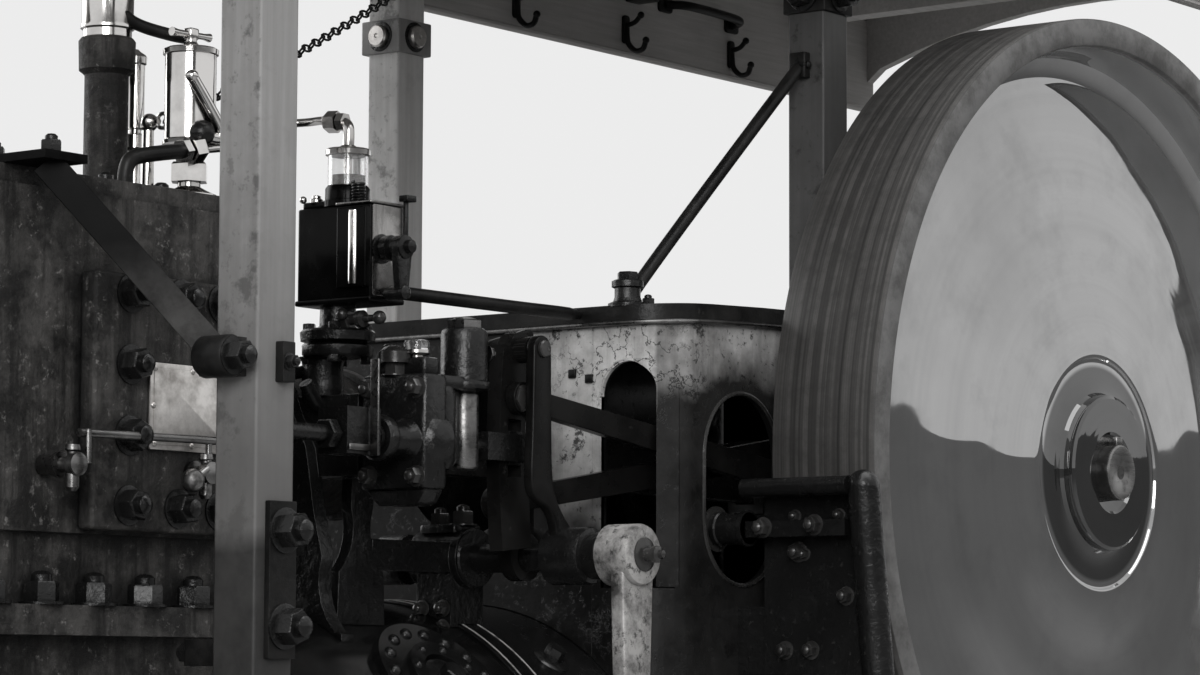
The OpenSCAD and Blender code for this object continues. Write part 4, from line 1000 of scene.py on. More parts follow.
class BuildWheel(EngineStep):
    """Flywheel: bare rim, spun disc with faint ripples and a stepped hub"""
    bl_idname = "engine.wheel"
    bl_label = "Flywheel"

    def execute(self, context):
        s = context.scene.engine_wheel
        r = np.linspace(606, 180, 40)
        share = (606 - r) / 426
        web = np.stack([467 + 50.5 * share + s.ripple * 1000 * np.sin(15.7 * share ** 1.3), r], 1)
        rim = [(392, 42.3), (392, 110), (396, 116), (402, 119), (464, 136), (441, 600),
               (436, 628), (426, 642), (404, 645), (389, 647), (389, 683), (390, 685.3),
               (392, 686), (555, 686), (557, 685.2), (558, 683), (558, 648), (557, 646),
               (555, 645), (500, 640), (482, 634), (473, 622), (468.5, 611)]
        hub = [(517, 176), (514, 174), (513.6, 170), (514.5, 150), (516, 130), (519, 122),
               (524, 118), (532, 118), (537, 116.5), (540, 112), (540, 62), (536, 58), (535, 42.3)]
        piece("flywheel_disc", [hoop((0, 0, 0), "y", rim + web.tolist() + hub, 240)],
              "wheel_gloss", "flywheel", stands_for=("flywheel",), smooth=28)
        piece("wheel_key", [block(-9, 9, 520, 553, 40, 54, 2, 1)], "machined", "flywheel")
        piece("shaft_end", [lathe((0, 553, 0), "y", [(0, 41.5), (2, 41.5), (4, 39), (4, 16),
                                                     (-2, 5)], 48)], "machined")
        return {"FINISHED"}


class BuildLift(EngineStep):
    """Lifting levers, pins and caps of the link motion"""
    bl_idname = "engine.lift"
    bl_label = "Lifting levers"

    def execute(self, context):
        lever = np.vstack([
            circle(18, 14, (1126, 115), 0, 180),
            bent([(1108, 115), (1107, 40), (1105, -40), (1098, -74), (1082, -98),
                  (1060, -120)], 4)[1:],
            [(1042, -148), (1060, -184), (1094, -174)],
            bent([(1094, -140), (1098, -112), (1112, -93), (1138, -80), (1148, -56),
                  (1146, 10), (1144, 115)], 4)[:-1]])
        piece("lifting_lever_bar", [slab(lever, "y", 317, 333, edge=3.5, steps=4)],
              "black_steel", stands_for=("lifting_lever",))
        inner = rounded([(1144, 127), (1049, 153), (1044, 80), (1052, 0), (1046, -90),
                         (1046, -160), (1092, -160), (1104, -80), (1112, 0), (1140, 84)], 14, 5)
        piece("inner_lifting_lever", [slab(inner, "y", 244, 256, edge=2.5, steps=3),
                                      lathe((WEIGH_X, 238, WEIGH_Z), "y",
                                            [(0, 30), (1, 32), (23, 32), (24, 30)], 40)],
              "black_steel")
        caps = [lathe((1126, 332.5, 115), "y", [(0, 11.5), (4, 11.5), (5.5, 9.5), (5.5, 1)], 28),
                lathe((1126, 294, 115), "y", [(0, 15), (1, 17), (20, 17), (22, 15)], 32),
                hex_head((1140, 312.5, 51), "y", 34, 4.2, 10),
                lathe((1140, 253, -85), "y", [(0, 9), (1, 15), (4, 15.5)], 28)]
        piece("lever_pins", caps, "greasy")
        nuts = []
        for z, s in ((-64, 305), (64, 265)):
            for h in (-34, 34):
                nuts += bolt((131, s, h * 0.8 - np.sign(z) * 10 + z * 0.1), "x", 17, 20)
        piece("strap_bolts", nuts, "machined")
        return {"FINISHED"}


class BuildGuide(EngineStep):
    """Valve rod guide: cast body, stuffing box, capped column and oil cup"""
    bl_idname = "engine.guide"
    bl_label = "Valve rod guide"

    def execute(self, context):
        column = [lathe((1230, GUIDE_Y, 0), "z",
                        [(53, 19), (55, 26), (57, 33), (62, 34), (66, 33), (68, 30.5), (128, 30.5),
                         (133, 29), (136, 24)], 56), block(1247, 1300, 272, 296, -40, 56, 8, 5),
                  block(1244, 1300, 264, 306, 54, 72, 8, 5)]
        piece("guide_column_casting", column, "oiled_black", stands_for=("guide_column",))
        piece("guide_column_spindle",
              [lathe((1230, GUIDE_Y, 0), "z",
                     [(-47, 14), (-45, 17.5), (-42, 19), (50, 19), (53, 17)], 48)], "machined")
        hexes = [hex_head((1230, GUIDE_Y, 134), "z", 43, 13, 8),
                 lathe((1230, GUIDE_Y, 146), "z", [(0, 15), (3, 14), (4, 10)], 28)]
        hexes += bolt((1203, 297, 105), "-x", 17, 15)
        piece("guide_column_cap", hexes, "machined")
        body = [block(1300, 1346, 208, 319, -76, 70, 11, 6),
                block(1300, 1331, 220, 305, 68, 92, 8, 4),
                lathe((1300, GUIDE_Y, ROD_Z), "x",
                      [(0, 43), (31, 43), (36, 41), (41, 35), (45, 28), (50, 24), (62, 21.5),
                       (84, 20.5), (86, 27), (92, 29), (100, 29), (104, 26), (104, 12)], 56),
                lathe((1326, 212, 10), "-y", [(-4, 26), (4, 26), (9, 21), (9, 8)], 32),
                lathe((1284, GUIDE_Y, 0), "z",
                      [(-52, 12), (-48, 20), (-38, 25), (46, 25), (58, 20), (64, 12)], 40)]
        body.append(slab(rounded([(212, -74), (314, -74), (300, -96), (232, -96)], 8), "x",
                         1302, 1338, edge=3))
        piece("valve_guide_casting", body, "oiled_black", stands_for=("valve_guide",))
        nuts = []
        for y, z in ((226, 52), (304, 52), (226, -58), (304, -60)):
            nuts += bolt((1345, y, z), "x", 19, y)
        nuts += bolt((1334, 257, 69), "z", 24, 12, 0.9) + bolt((1318, 232, 91), "z", 20, 12)
        nuts.append(hex_head((1390, GUIDE_Y, ROD_Z), "x", 46, 12, 20))
        piece("guide_nuts", nuts, "greasy")
        cup = [lathe((1315, 277, 90), "z", [(0, 9), (5, 9), (6, 15), (8, 17), (12, 17)], 32)]
        piece("guide_cup_seat", cup, "polished")
        piece("guide_cup_glass", [lathe((1315, 277, 102), "z", [(0, 16), (9, 16.5), (12, 15),
                                                               (13, 11)], 32)], "clear_glass")
        yoke = [hex_head((1411, GUIDE_Y, ROD_Z), "x", 34, 16, 10),
                hex_head((1486, GUIDE_Y, ROD_Z), "x", 34, 14),
                lathe((1411, GUIDE_Y, ROD_Z), "x", [(-6, 14), (-5, 19), (2, 20), (3, 14)], 32)]
        piece("valve_rod_nuts", yoke, "oiled_black")
        piece("yoke_edge", [block(1440, 1443, 311, 324, -40, 80, 1, 0.8),
                            block(1440, 1482, 306, 313, -34, -26, 2, 1)], "machined")
        return {"FINISHED"}


class BuildWeighshaft(EngineStep):
    """Weighshaft with its bosses, bearing cap, end eye and drop arm"""
    bl_idname = "engine.weighshaft"
    bl_label = "Weighshaft"

    def execute(self, context):
        shaft = lathe((WEIGH_X, 0, WEIGH_Z), "y",
                      [(10, 16), (12, 20), (15, 20), (17, 33), (19, 34), (58, 34), (60, 32),
                       (61, 20), (305, 20), (307, 35), (310, 38), (366, 38), (371, 36),
                       (373, 31), (394, 31), (396, 29), (397, 25)], 56)
        piece("weighshaft_turned", [shaft], "oiled_black",
              stands_for=("weighshaft",))
        arm = eye_bar((WEIGH_X, WEIGH_Z - 210), (WEIGH_X, WEIGH_Z), 26, 34)
        eye = [slab(arm, "y", 424, 446, edge=4, steps=4),
               lathe((WEIGH_X, 0, WEIGH_Z), "y",
                     [(396, 22), (399, 24), (400, 37), (403, 40), (448, 40), (453, 38), (455, 34),
                      (455, 10)], 56),
               lathe((WEIGH_X, 418, WEIGH_Z - 210), "y", [(0, 24), (2, 26), (32, 26), (34, 24)],
                     40)]
        piece("reversing_arm", eye, "pale_iron")
        end = [lathe((WEIGH_X, 454, WEIGH_Z), "y", [(0, 22), (3, 22), (5, 19), (5, 9), (16, 8),
                                                    (17, 11), (24, 11), (26, 6), (32, 5),
                                                    (34, 2)], 32)]
        piece("arm_nipple", end, "greasy")
        cap = [lathe((WEIGH_X, 171, WEIGH_Z), "y", [(0, 38), (4, 40), (7, 38), (8, 26)], 48),
               block(1040, 1098, 98, 162, -120, -108, 8, 3)]
        piece("bearing_cap", cap, "oiled_black")
        nuts = bolt((1069, 152, -109), "z", 27, 8) + bolt((1069, 112, -109), "z", 24, 8)
        nuts += bolts([(1104, y, z) for z in (-220, -246) for y in (112, 148)], "x", 16, 5)
        piece("bearing_nuts", nuts, "greasy")
        rod = pipe([(1068, 40, -153), (1000, 62, -140), (911, 100, -117), (880, 112, -112)], 8, 7,
                   16)
        piece("cock_rod", [rod], "machined")
        return {"FINISHED"}


class BuildCylinder(EngineStep):
    """Studs, covers, drain cocks and lagging of the cylinder"""
    bl_idname = "engine.cylinder"
    bl_label = "Cylinder fittings"

    def execute(self, context):
        w = context.scene.engine_trim.stud * 1000
        chest = [(1850, 127), (1849, 45), (1850, -37), (1850, -117), (1768, -118), (1768, 127),
                 (1700, -118), (1700, 127), (1662, 45), (1662, -37)]
        nuts = bolts([(x, 300, z) for x, z in chest], "y", w, 0, 17)
        for k, x in enumerate((1600, 1640, 1716, 1796, 1878, 1960, 2040)):
            nuts += bolt((x, 276, -232), "z", w + 4, 13 * k)
            nuts += bolt((x, -236, -232), "z", w + 4, 13 * k)
        nuts += bolts(around((2086, 0, 0), "x", 126, 12, 15), "x", 26, 0, 11)
        nuts += bolts(around((1588, 0, 0), "-x", 112, 10, 18), "-x", 22, 0, 11)
        top = [(1640, 140), (1745, 60), (1745, 150), (1668, 40), (1900, 200), (1990, 200),
               (1900, -150), (1990, -150), (1780, -150), (1660, -150)]
        nuts += bolts([(x, y, BLOCK_TOP) for x, y in top], "z", 28, 0, 21)
        piece("cylinder_nuts", nuts, "oiled_black")
        plate = [lathe((2085, 0, 0), "x", [(0, 96), (4, 94), (9, 80), (11, 40), (11, 2)], 64),
                 block(1618, 1742, 46, 216, 261, 273, 22, 4)]
        piece("cylinder_covers", plate, "cast_rough")
        lag = [slab(rect(1640, 2024, -128, 222, 30), "y", -218, -209, edge=3)]
        piece("lagging_sheet", lag, "worn_black")
        spots = [(x, z) for x in np.linspace(1660, 2004, 6) for z in (-108, 202)]
        spots += [(x, z) for z in np.linspace(-46, 140, 4) for x in (1660, 2004)]
        pins = [rivet((x, -217.5, z), "-y", 8) for x, z in spots]
        piece("lagging_screws", pins, "machined")
        spots = [(x, z) for x in (1688, 1750, 1812) for z in (-44, 43)]
        spots += [(1686, 0), (1814, 0)]
        piece("plate_screws", [rivet((x, 303, z), "y", 4) for x, z in spots], "dull_brass")
        rim = [slab(rect(1680, 1820, -51, 50, 3), "y", 299.5, 303.2, edge=1),
               slab(rect(1686, 1814, -45, 44, 3), "y", 303, 303.9, edge=0.6)]
        piece("name_plate_blank", rim, "dull_brass", stands_for=("blank_plate",))
        cocks = []
        for x, z in ((1745, -76), (1960, -76)):
            cocks.append(lathe((x, 275, z), "y", [(0, 12), (20, 12), (25, 15), (31, 15), (32, 9),
                                                  (46, 8), (47, 13), (58, 13), (60, 7)], 28))
            cocks.append(lathe((x, 322, z - 30), "z", [(0, 5), (4, 8), (24, 8), (26, 6), (44, 6),
                                                       (46, 9), (52, 8)], 24))
        cocks.append(ball((1775, 330, -86), 14))
        cocks.append(pipe([(1745, 326, -70), (1752, 330, -72), (1765, 330, -80), (1775, 330, -86)],
                          8, 5, 14))
        cocks.append(sweep([(1690, 322, -36), (1720, 326, -38), (1768, 328, -38),
                            (1950, 322, -40)], 5, 14))
        for x in (1745, 1940):
            cocks.append(sweep([(x, 326, -74), (x, 326, -36)], 4, 12))
        piece("drain_cocks", cocks, "machined")
        return {"FINISHED"}


class BuildTop(EngineStep):
    """Steam pipe, whistle, lubricator, cocks, levers, pipes and chain on the block"""
    bl_idname = "engine.top"
    bl_label = "Top fittings"

    def execute(self, context):
        lower = lathe((1697, 100, BLOCK_TOP), "z",
                      [(0, 43), (12, 43), (16, 38), (18, 28), (24, 27), (158, 27), (161, 30),
                       (164, 34), (200, 35), (204, 32), (206, 26)], 56)
        piece("steam_pipe_casting", [lower], "cast_rough", stands_for=("safety_valve",))
        upper = [lathe((1697, 100, 464), "z", [(0, 30), (12, 30), (14, 33), (18, 33), (20, 32),
                                               (92, 32), (95, 35), (106, 35.5), (109, 33),
                                               (110, 8)], 56)]
        piece("steam_pipe_sleeve", upper, "polished")
        whistle = lathe((1638, 91, BLOCK_TOP), "z",
                        [(0, 15), (16, 15), (18, 8), (71, 7), (74, 12), (76, 14), (92, 14),
                         (95, 8), (99, 8), (101, 11.5), (180, 11.5), (182, 13.5), (190, 14),
                         (193, 12), (197, 6), (200, 3)], 40)
        piece("whistle_turned", [whistle], "polished", stands_for=("whistle",))
        cup = [lathe((1640, 187, BLOCK_TOP), "z",
                     [(0, 34), (10, 34), (14, 26), (20, 14), (26, 14)], 48),
               hex_head((1640, 187, 288), "z", 42, 24, 10),
               lathe((1640, 187, 311), "z",
                     [(0, 16), (4, 13), (18, 13), (21, 20), (23, 33.5), (27, 34), (29, 31.5),
                      (133, 31.5), (134, 34), (140, 34.5), (142, 31), (143, 12), (150, 7),
                      (158, 7)], 64), block(1632, 1648, 180, 194, 464, 478, 4, 2),
               sweep([(1607, 186, 471), (1616, 186, 471), (1664, 187, 470), (1674, 187, 470)],
                     [5.5, 4, 4, 5.5], 16)]
        piece("lubricator_body", cup, "polished", stands_for=("lubricator",))
        flat = pipe([(1706, 118, 505), (1680, 130, 485), (1645, 152, 474), (1616, 172, 469)], 8,
                    10, 20, 0.75)
        piece("regulator_lever", [flat], "worn_black")
        lever = pipe([(1676, 224, 411), (1650, 226, 380), (1628, 226, 353), (1629, 224, 341),
                      (1648, 220, 343)], 6, 7, 16)
        piece("cock_lever", [lever, ball((1676, 224, 411), 8, 16)], "polished")
        piece("cock_ball", [ball((1649, 216, 345), 16),
                            lathe((1649, 214, 345), "-y", [(0, 12), (24, 10), (26, 7)], 24)],
              "oiled_black")
        elbow = pipe([(1768, 205, 262), (1768, 206, 284), (1762, 208, 300), (1740, 211, 308),
                      (1690, 214, 318), (1676, 214, 320)], 6, 9.5, 20)
        piece("feed_elbow",
              [elbow, lathe((1768, 205, 258), "z", [(0, 20), (8, 20), (10, 12)], 32)],
              "worn_black")
        nuts = [hex_head((1684, 214, 318.5), (-0.97, 0.02, 0.24), 26, 12, 5),
                hex_head((1670, 214.5, 321), (-0.97, 0.02, 0.24), 30, 20, 20),
                hex_head((1332, 168, 403), (0.1, -0.95, 0.05), 21, 12, 0),
                hex_head((1332, 155, 404), (0.1, -0.95, 0.05), 25, 18, 20)]
        run = pipe([(1332, 158, 404), (1332, 130, 408), (1333, 100, 408), (1360, 76, 405),
                    (1430, 88, 396), (1520, 150, 370), (1590, 205, 338), (1655, 214, 324)], 8, 5.5,
                   16)
        gland = pipe([(1334, 174, 364), (1334, 175, 384), (1333, 172, 397), (1332, 160, 404)], 6,
                     7.5, 18)
        piece("oil_pipe", [run, gland] + nuts, "polished")
        cock = [lathe((1650, 126, BLOCK_TOP), "z", [(0, 14), (8, 14), (10, 8), (94, 7), (97, 10)],
                      28), ball((1650, 128, 366), 11, 20),
                torus((1650, 150, 366), "x", 9, 2.6, 24, 8),
                sweep([(1650, 134, 366), (1650, 144, 366)], 4, 12)]
        piece("whistle_cock", cock, "polished")
        ends = np.array([[1650, 158, 367], [585, 90, 990]], float)
        pitch, sag = 11.5, 160
        count = int(np.linalg.norm(ends[1] - ends[0]) / pitch)
        share = np.linspace(0, 1, count)[:, None]
        line = ends[0] + (ends[1] - ends[0]) * share
        line[:, 2] -= sag * share[:, 0] * (1 - share[:, 0])
        links = []
        for k, p in enumerate(line):
            along = line[min(k + 1, count - 1)] - line[max(k - 1, 0)]
            u, v, _ = across(along)
            turn = math.radians(45 + 90 * (k % 2))
            links.append(torus(p, math.cos(turn) * u + math.sin(turn) * v, 6.2, 1.6, 10, 5))
        piece("whistle_chain", links, "worn_black")
        return {"FINISHED"}


class BuildOiler(EngineStep):
    """Mechanical oiler: enamelled box, sight gauge, glass cup, drive and stand"""
    bl_idname = "engine.oiler"
    bl_label = "Oiler"

    def execute(self, context):
        cup = (1334, 174)
        box = [block(1300, 1364, 115, 240, 167, 289, 4, 2.5),
               block(1362, 1373, 190, 239, 182, 284, 2, 1.5),
               block(1298, 1367, 113, 242, 163, 170, 4, 2),
               block(1305, 1359, 118, 181, 288, 298, 5, 2),
               lathe((*cup, 290), "z", [(0, 31), (8, 31), (9, 29), (24, 29), (27, 27), (28, 20)],
                     48)]
        piece("oiler_box", box, "enamel", stands_for=("oiler",))
        face = [slab(rect(1303, 1361, 171, 288, 3), "y", 239.5, 241.5, edge=0.8),
                block(1298, 1367, 181, 243, 289, 292.5, 4, 1.2)]
        piece("oiler_face", face, "smeared_metal")
        bright = [lathe((*cup, 357), "z",
                        [(0, 26), (1, 29), (7, 29.5), (9, 28), (10, 14), (14, 9)], 48),
                  lathe((*cup, 318), "z", [(0, 12), (3, 6), (38, 5), (40, 7)], 24),
                  lathe((1340, 126, 297), "z", [(0, 9), (6, 9), (8, 6), (11, 6), (12, 4)], 24),
                  lathe((1368, 217, 0), "z", [(186, 8), (190, 8.5), (276, 8.5), (280, 8)], 28),
                  ball((1368, 128, 300), 5, 12)]
        piece("oiler_bright", bright, "polished")
        glass = hoop((*cup, 0), "z", [(318, 23), (318, 26), (357, 26), (357, 23)], 48)
        piece("oiler_cup_glass", [glass], "clear_glass", stands_for=("oiler_glass",))
        piece("oiler_cup_oil",
              [lathe((*cup, 317), "z", [(0, 22.6), (14, 22.6), (14.6, 21.5)], 48)], "lubricant")
        t = np.linspace(0, 7 * 2 * np.pi, 120)
        spring = np.stack([1352 + 8 * np.cos(t), 208 + 8 * np.sin(t), 292 + t * 0.62], 1)
        drive = [lathe((1345, 240, 231), "y", [(0, 19), (4, 19), (6, 11), (9, 11), (10, 16.5),
                                               (20, 16.5), (21, 11), (26, 11), (28, 15), (44, 15),
                                               (46, 9), (54, 8), (56, 5)], 36),
                 slab(eye_bar((1345, 231), (1345, 173), 15, 8), "y", 270, 282, edge=2),
                 lathe((1345, 250, 173), "y", [(0, 5), (2, 8), (18, 8), (20, 9), (34, 9),
                                               (36, 6)], 28),
                 sweep([(1345, 258, 173), (1322, 244, 178), (1298, 216, 182)], [7, 8, 8.5], 16),
                 sweep(spring, 1.6, 8), block(1296, 1302, 240, 246, 236, 300, 2, 1),
                 block(1290, 1308, 238, 254, 296, 304, 2, 1)]
        piece("oiler_drive", drive, "oiled_black")
        foot = (1332, 158)
        stand = [lathe((*foot, 0), "z",
                       [(97, 30), (98, 44), (101, 46), (111, 46), (113, 41), (114.5, 37),
                        (116, 41), (118, 48), (129, 49), (132, 46), (134, 28), (138, 24),
                        (167, 23)], 56),
                 lathe((1332, 133, 0), "z",
                       [(46, 22), (48, 27), (62, 28), (84, 26), (94, 28), (98, 34)], 48),
                 pipe([(1384, 150, 62), (1374, 150, 50), (1356, 148, 36), (1334, 142, 40)], 8, 9,
                      16),
                 pipe([(1332, 110, 84), (1380, 108, 70), (1420, 120, 40), (1430, 130, 0)], 8, 8,
                      16)]
        for k, p in enumerate(around((*foot, 131), "z", 37, 4, 35)):
            stand.append(hex_head(p, "z", 15, 10, 20 * k))
            stand.append(hex_head(p - np.array([0, 0, 33]), "-z", 15, 9, 20 * k))
        piece("oiler_stand_rough", stand, "oiled_black",
              stands_for=("oiler_stand",))
        valves = [lathe((1342, 150, 144), "y", [(0, 12), (6, 12), (8, 7), (50, 7), (52, 11),
                                                (60, 11), (62, 5), (84, 4)], 28),
                  ball((1342, 237, 144), 9, 18), ball((1356, 186, 150), 8, 18),
                  hex_head((1342, 178, 144), "y", 22, 12, 0),
                  sweep([(1356, 186, 150), (1342, 186, 146)], 3, 10)]
        piece("oiler_valves", valves, "greasy")
        return {"FINISHED"}


class BuildCasing(EngineStep):
    """Casing: slot beads, cover lip, arch edge, bolts, rivets, stays and back sheet"""
    bl_idname = "engine.casing"
    bl_label = "Casing details"

    def execute(self, context):
        bracket = [lathe((861, 270, 195), "z", [(0, 27), (5, 27), (8, 20), (14, 18), (26, 18),
                                                (28, 22), (36, 22), (38, 18)], 40),
                   hex_head((861, 270, 232), "z", 26, 12, 15)]
        bracket += bolt((838, 252, 196), "z", 16, 5) + bolt((838, 288, 197), "z", 16, 15)
        bracket += bolt((479, 296, 581), "y", 18, 5)
        piece("stay_bracket", bracket, "oiled_black")
        outline = np.vstack([circle(90, 24, (696, -6), 0, 180),
                             circle(90, 24, (696, -93), 180, 360)])
        bead = [closed_tube(np.insert(outline, 1, s * (PLATE_Y + 0.5), axis=1), 3.2)
                for s in (1, -1)]
        piece("slot_bead", bead, "greasy")
        side = np.linspace(-215, CORNER_X, 40)
        turn = np.radians(np.linspace(0, 90, 9)[1:-1])
        out = 6.5       # how far the cover's lip stands off the plates
        lip_r = CORNER_R + out
        corner = np.stack([CORNER_X + lip_r * np.sin(turn), CORNER_Y + lip_r * np.cos(turn)], 1)
        plan = np.vstack([np.stack([side, 0 * side + PLATE_Y + out], 1), corner,
                          [(CORNER_X + lip_r, y) for y in (CORNER_Y, 130, 0)]])
        plan = np.vstack([plan, plan[-2::-1] * (1, -1)])
        arched = 208 - (plan[:, 0] - 330) ** 2 / 18688      # the cover's top, from the side
        lip = np.column_stack([plan, arched - 20])
        piece("cover_lip", [sweep(lip, 3.4, 10)], "machined")
        up = np.linspace(-188, 81.5, 12)
        hole = np.vstack([np.stack([0 * up + 319, up], 1), circle(39.5, 22, (279.5, 81.5), 0, 180),
                          np.stack([0 * up + 240, up[::-1]], 1)])
        body = np.vstack([np.stack([0 * up + 338, np.linspace(-188, 72.5, 12)], 1),
                          circle(50.5, 22, (287.5, 72.5), 0, 180),
                          np.stack([0 * up + 237, np.linspace(72.5, -188, 12)], 1)])
        piece("arch_edge", [rolled_strip(hole, body, 7.0)], "pale_paint")
        nuts = []
        for s, axis in SIDE.items():
            for at, r, count, start, width in (
                    ((0, s * 359, 0), 114, 8, 22, 24),
                    ((SECOND_X, s * 355, SECOND_Z), 75, 6, 30, 18),
                    ((AXLE_X, s * 365, AXLE_Z), 88, 8, 10, 22)):
                nuts += bolts(around(at, axis, r, count, start), axis, width, 0, 13)
        piece("bearing_bolts", nuts, "greasy")
        heads = []
        for z in np.arange(-1080, -690, 78):
            for x in np.arange(-380, 300, 96):
                heads += plate_rivets(x, z, 11)
            for y in np.arange(-270, 280, 90):
                if abs(y) > 200 or z < -960:
                    heads.append(rivet((-430, y, z), "-x", 11))
        for x in np.linspace(360, 850, 9):
            heads += plate_rivets(x, -378, 9)
        for x in np.linspace(-390, 290, 12):
            heads += plate_rivets(x, -1168, 10)
        piece("plate_rivets", heads, "worn_black")
        screws = [block(879, 883.5, y - 6, y + 6, z - 6, z + 6, 1.5, 1)
                  for y, z in ((190, 106), (219, 98), (-190, 106), (-219, 98))]
        piece("casing_screws", screws, "worn_black")
        stay = [pipe([(866, 269, 208), (850, 270, 211), (836, 271.6, 231), (700, 281, 366),
                      (479, 296, 580)], 8, 9.5, 20), block(471.5, 487, 282, 310, 562, 600, 3, 2)]
        piece("stay_tube_smooth", stay, "worn_black",
              stands_for=("stay_tube",))
        hand = pipe([(1300, 212, 183), (1160, 210, 184), (1020, 208, 185), (940, 207, 186),
                     (905, 206, 186), (887, 206, 186)], 8,
                    np.interp(np.arange(41), [0, 30, 36, 40], [9, 9, 7, 5]), 20)
        piece("hand_tube_smooth", [hand], "worn_black",
              stands_for=("hand_tube",))
        sheet = slab(rect(-330, 330, -170, 172, 4), "x", -212, -208, edge=1)
        piece("casing_back", [sheet], "worn_black")
        return {"FINISHED"}


class BuildBoiler(EngineStep):
    """Boiler: lined bands, washout rivets, plugs and clips"""
    bl_idname = "engine.boiler"
    bl_label = "Boiler details"

    def execute(self, context):
        lines = []
        for x in BANDS_X:
            for d in (-17, 15):
                lines.append(hoop((x + d, 0, BARREL_Z), "x", [(-1.3, 378), (1.3, 378),
                                                              (1.3, 379.5), (-1.3, 379.5)], 160))
        piece("band_lining", lines, "lining")
        heads = []
        middle, out = on_barrel(1250, 46, 9.5)
        heads += [rivet(p, out, 9) for p in around(middle, out, 86, 16, 8)]
        heads += [rivet(p, out, 6) for p in around(middle + 10 * out, out, 51, 8, 20)]
        piece("washout_rivets", heads, "oiled_black")
        lid = lathe(middle - 16 * out, out, [(0, 40), (18, 40), (22, 36), (24, 20), (25, 2)], 48)
        piece("washout_lid", [lid, hex_head(middle + 7 * out, out, 30, 16)], "gloss_black")
        plug, out = on_barrel(1306, 15.5)
        piece("domed_plug", [lathe(plug - 4 * out, out, [(0, 30), (7, 30), (9, 26), (10, 26)], 40),
                             hex_head(plug + 5 * out, out, 52, 20, 12),
                             lathe(plug + 24 * out, out, [(0, 25), (4, 22), (8, 12), (9, 2)], 32)],
              "gloss_black")
        for k, (x, lean) in enumerate(((980, 38), (1420, 50), (980, -38), (1420, -50),
                                       (1900, 60))):
            at, out = on_barrel(x, lean)
            piece("barrel_plug_%d" % k, [lathe(at - 3 * out, out, [(0, 26), (6, 26), (9, 20)], 32),
                                         hex_head(at + 5 * out, out, 24, 18, 9)], "gloss_black")
        clips = []
        for x in BANDS_X[1:]:
            at, out = on_barrel(x, 180, 3)
            clips.append(block(x - 22, x + 22, -26, 26, at[2] - 8, at[2] + 3, 3, 2))
            for y in (-14, 14):
                clips.append(hex_head((x, y, at[2] - 7), "-z", 16, 8))
        piece("band_clips", clips, "worn_black")
        return {"FINISHED"}


class BuildPosts(EngineStep):
    """Bolts, collar, clamp, heads and brace eyes of the canopy posts"""
    bl_idname = "engine.posts"
    bl_label = "Post fittings"

    def execute(self, context):
        nuts = bolt((1812, 508, -149), "y", 36, 8) + bolt((1812, 508, -256), "y", 36, 20)
        nuts += bolt((1812, 512, 40), "y", 14, 5)
        nuts += bolt((477, 301, 686), "x", 34, 12) + bolt((439, 339, 686), "y", 34, 12)
        for s in (1, -1):
            nuts += bolt((1874, s * 484, 44), SIDE[s], 30, 10)
            nuts += bolts([(1820, s * 378, z) for z in (-585, -285)], SIDE[-s], 22, 10)
            nuts += bolt((1986, s * 214, 272), "z", 22) + bolt((1986, s * 306, 272), "z", 22, 14)
        nuts += bolts([(525, -468, z) for z in (-140, 80)], "x", 24, 8)
        collar = [block(402, 476.5, 264, 338.5, 660, 712, 3, 2)]
        piece("post_collar", collar, "worn_black")
        clamp = [block(453.7, 532.8, -507.8, -428.7, 670.4, 723.6, 3, 2)]
        piece("post_clamp", clamp, "post_paint")
        # Dark washers under the clamp's heads: washers, and also a painted shadow ring round the
        # heads.
        under = [(0, 24), (2, 24), (2.6, 22), (2.8, 6)]
        head = [(2, 18), (9, 18), (12, 15.5), (12.4, 4), (11, 2)]
        spots = (((532, -468, 697), "x"), ((495, -429.5, 697), "y"))     # the clamp's two heads
        # The dark washers, which also paint a shadow ring round the clamp's heads.
        nuts += [lathe(at, axis, under, 32) for at, axis in spots]
        piece("clamp_heads", [lathe(at, axis, head, 32) for at, axis in spots], "dull_brass")
        piece("post_bolts", nuts, "oiled_black")
        feet = []
        for x, y, inwards in ((1820, 468, 31), (1820, -468, 31), (439, 301, 40), (493, -468, 31)):
            feet.append(block(x - 46, x + 46, y - inwards, y + 31, 884, 895, 4, 2))
        piece("post_heads", feet, "worn_black")
        ends = [lathe((1874, s * 440, 44), SIDE[s], [(0, 22), (3, 24), (42, 24), (45, 22)], 40)
                for s in (1, -1)]
        piece("brace_eyes", ends, "worn_black")
        return {"FINISHED"}


class BuildGuard(EngineStep):
    """Bolts and spindle of the wheel guard"""
    bl_idname = "engine.guard"
    bl_label = "Guard bolts"

    def execute(self, context):
        spindle = (734, 331, -106)
        nuts = bolts([(743, 415, -106), (743, 499, -104)], "x", 20, 10)
        for y, z, w in ((447, -90, 13), (519, -90, 13), (452, -139, 20), (462, -142, 13),
                        (473, -273, 18), (430, -273, 18), (530, -200, 18)):
            nuts += bolt((712, y, z), "x", w, 20)
        nuts += bolt(spindle, "-y", 44, 6)
        piece("guard_nuts", nuts, "greasy")
        ring = [lathe(spindle, "y",
                      [(0, 20), (2, 24), (9, 24), (11, 22), (46, 22), (48, 25), (54, 25)], 40)]
        piece("guard_spindle", ring, "oiled_black")
        return {"FINISHED"}


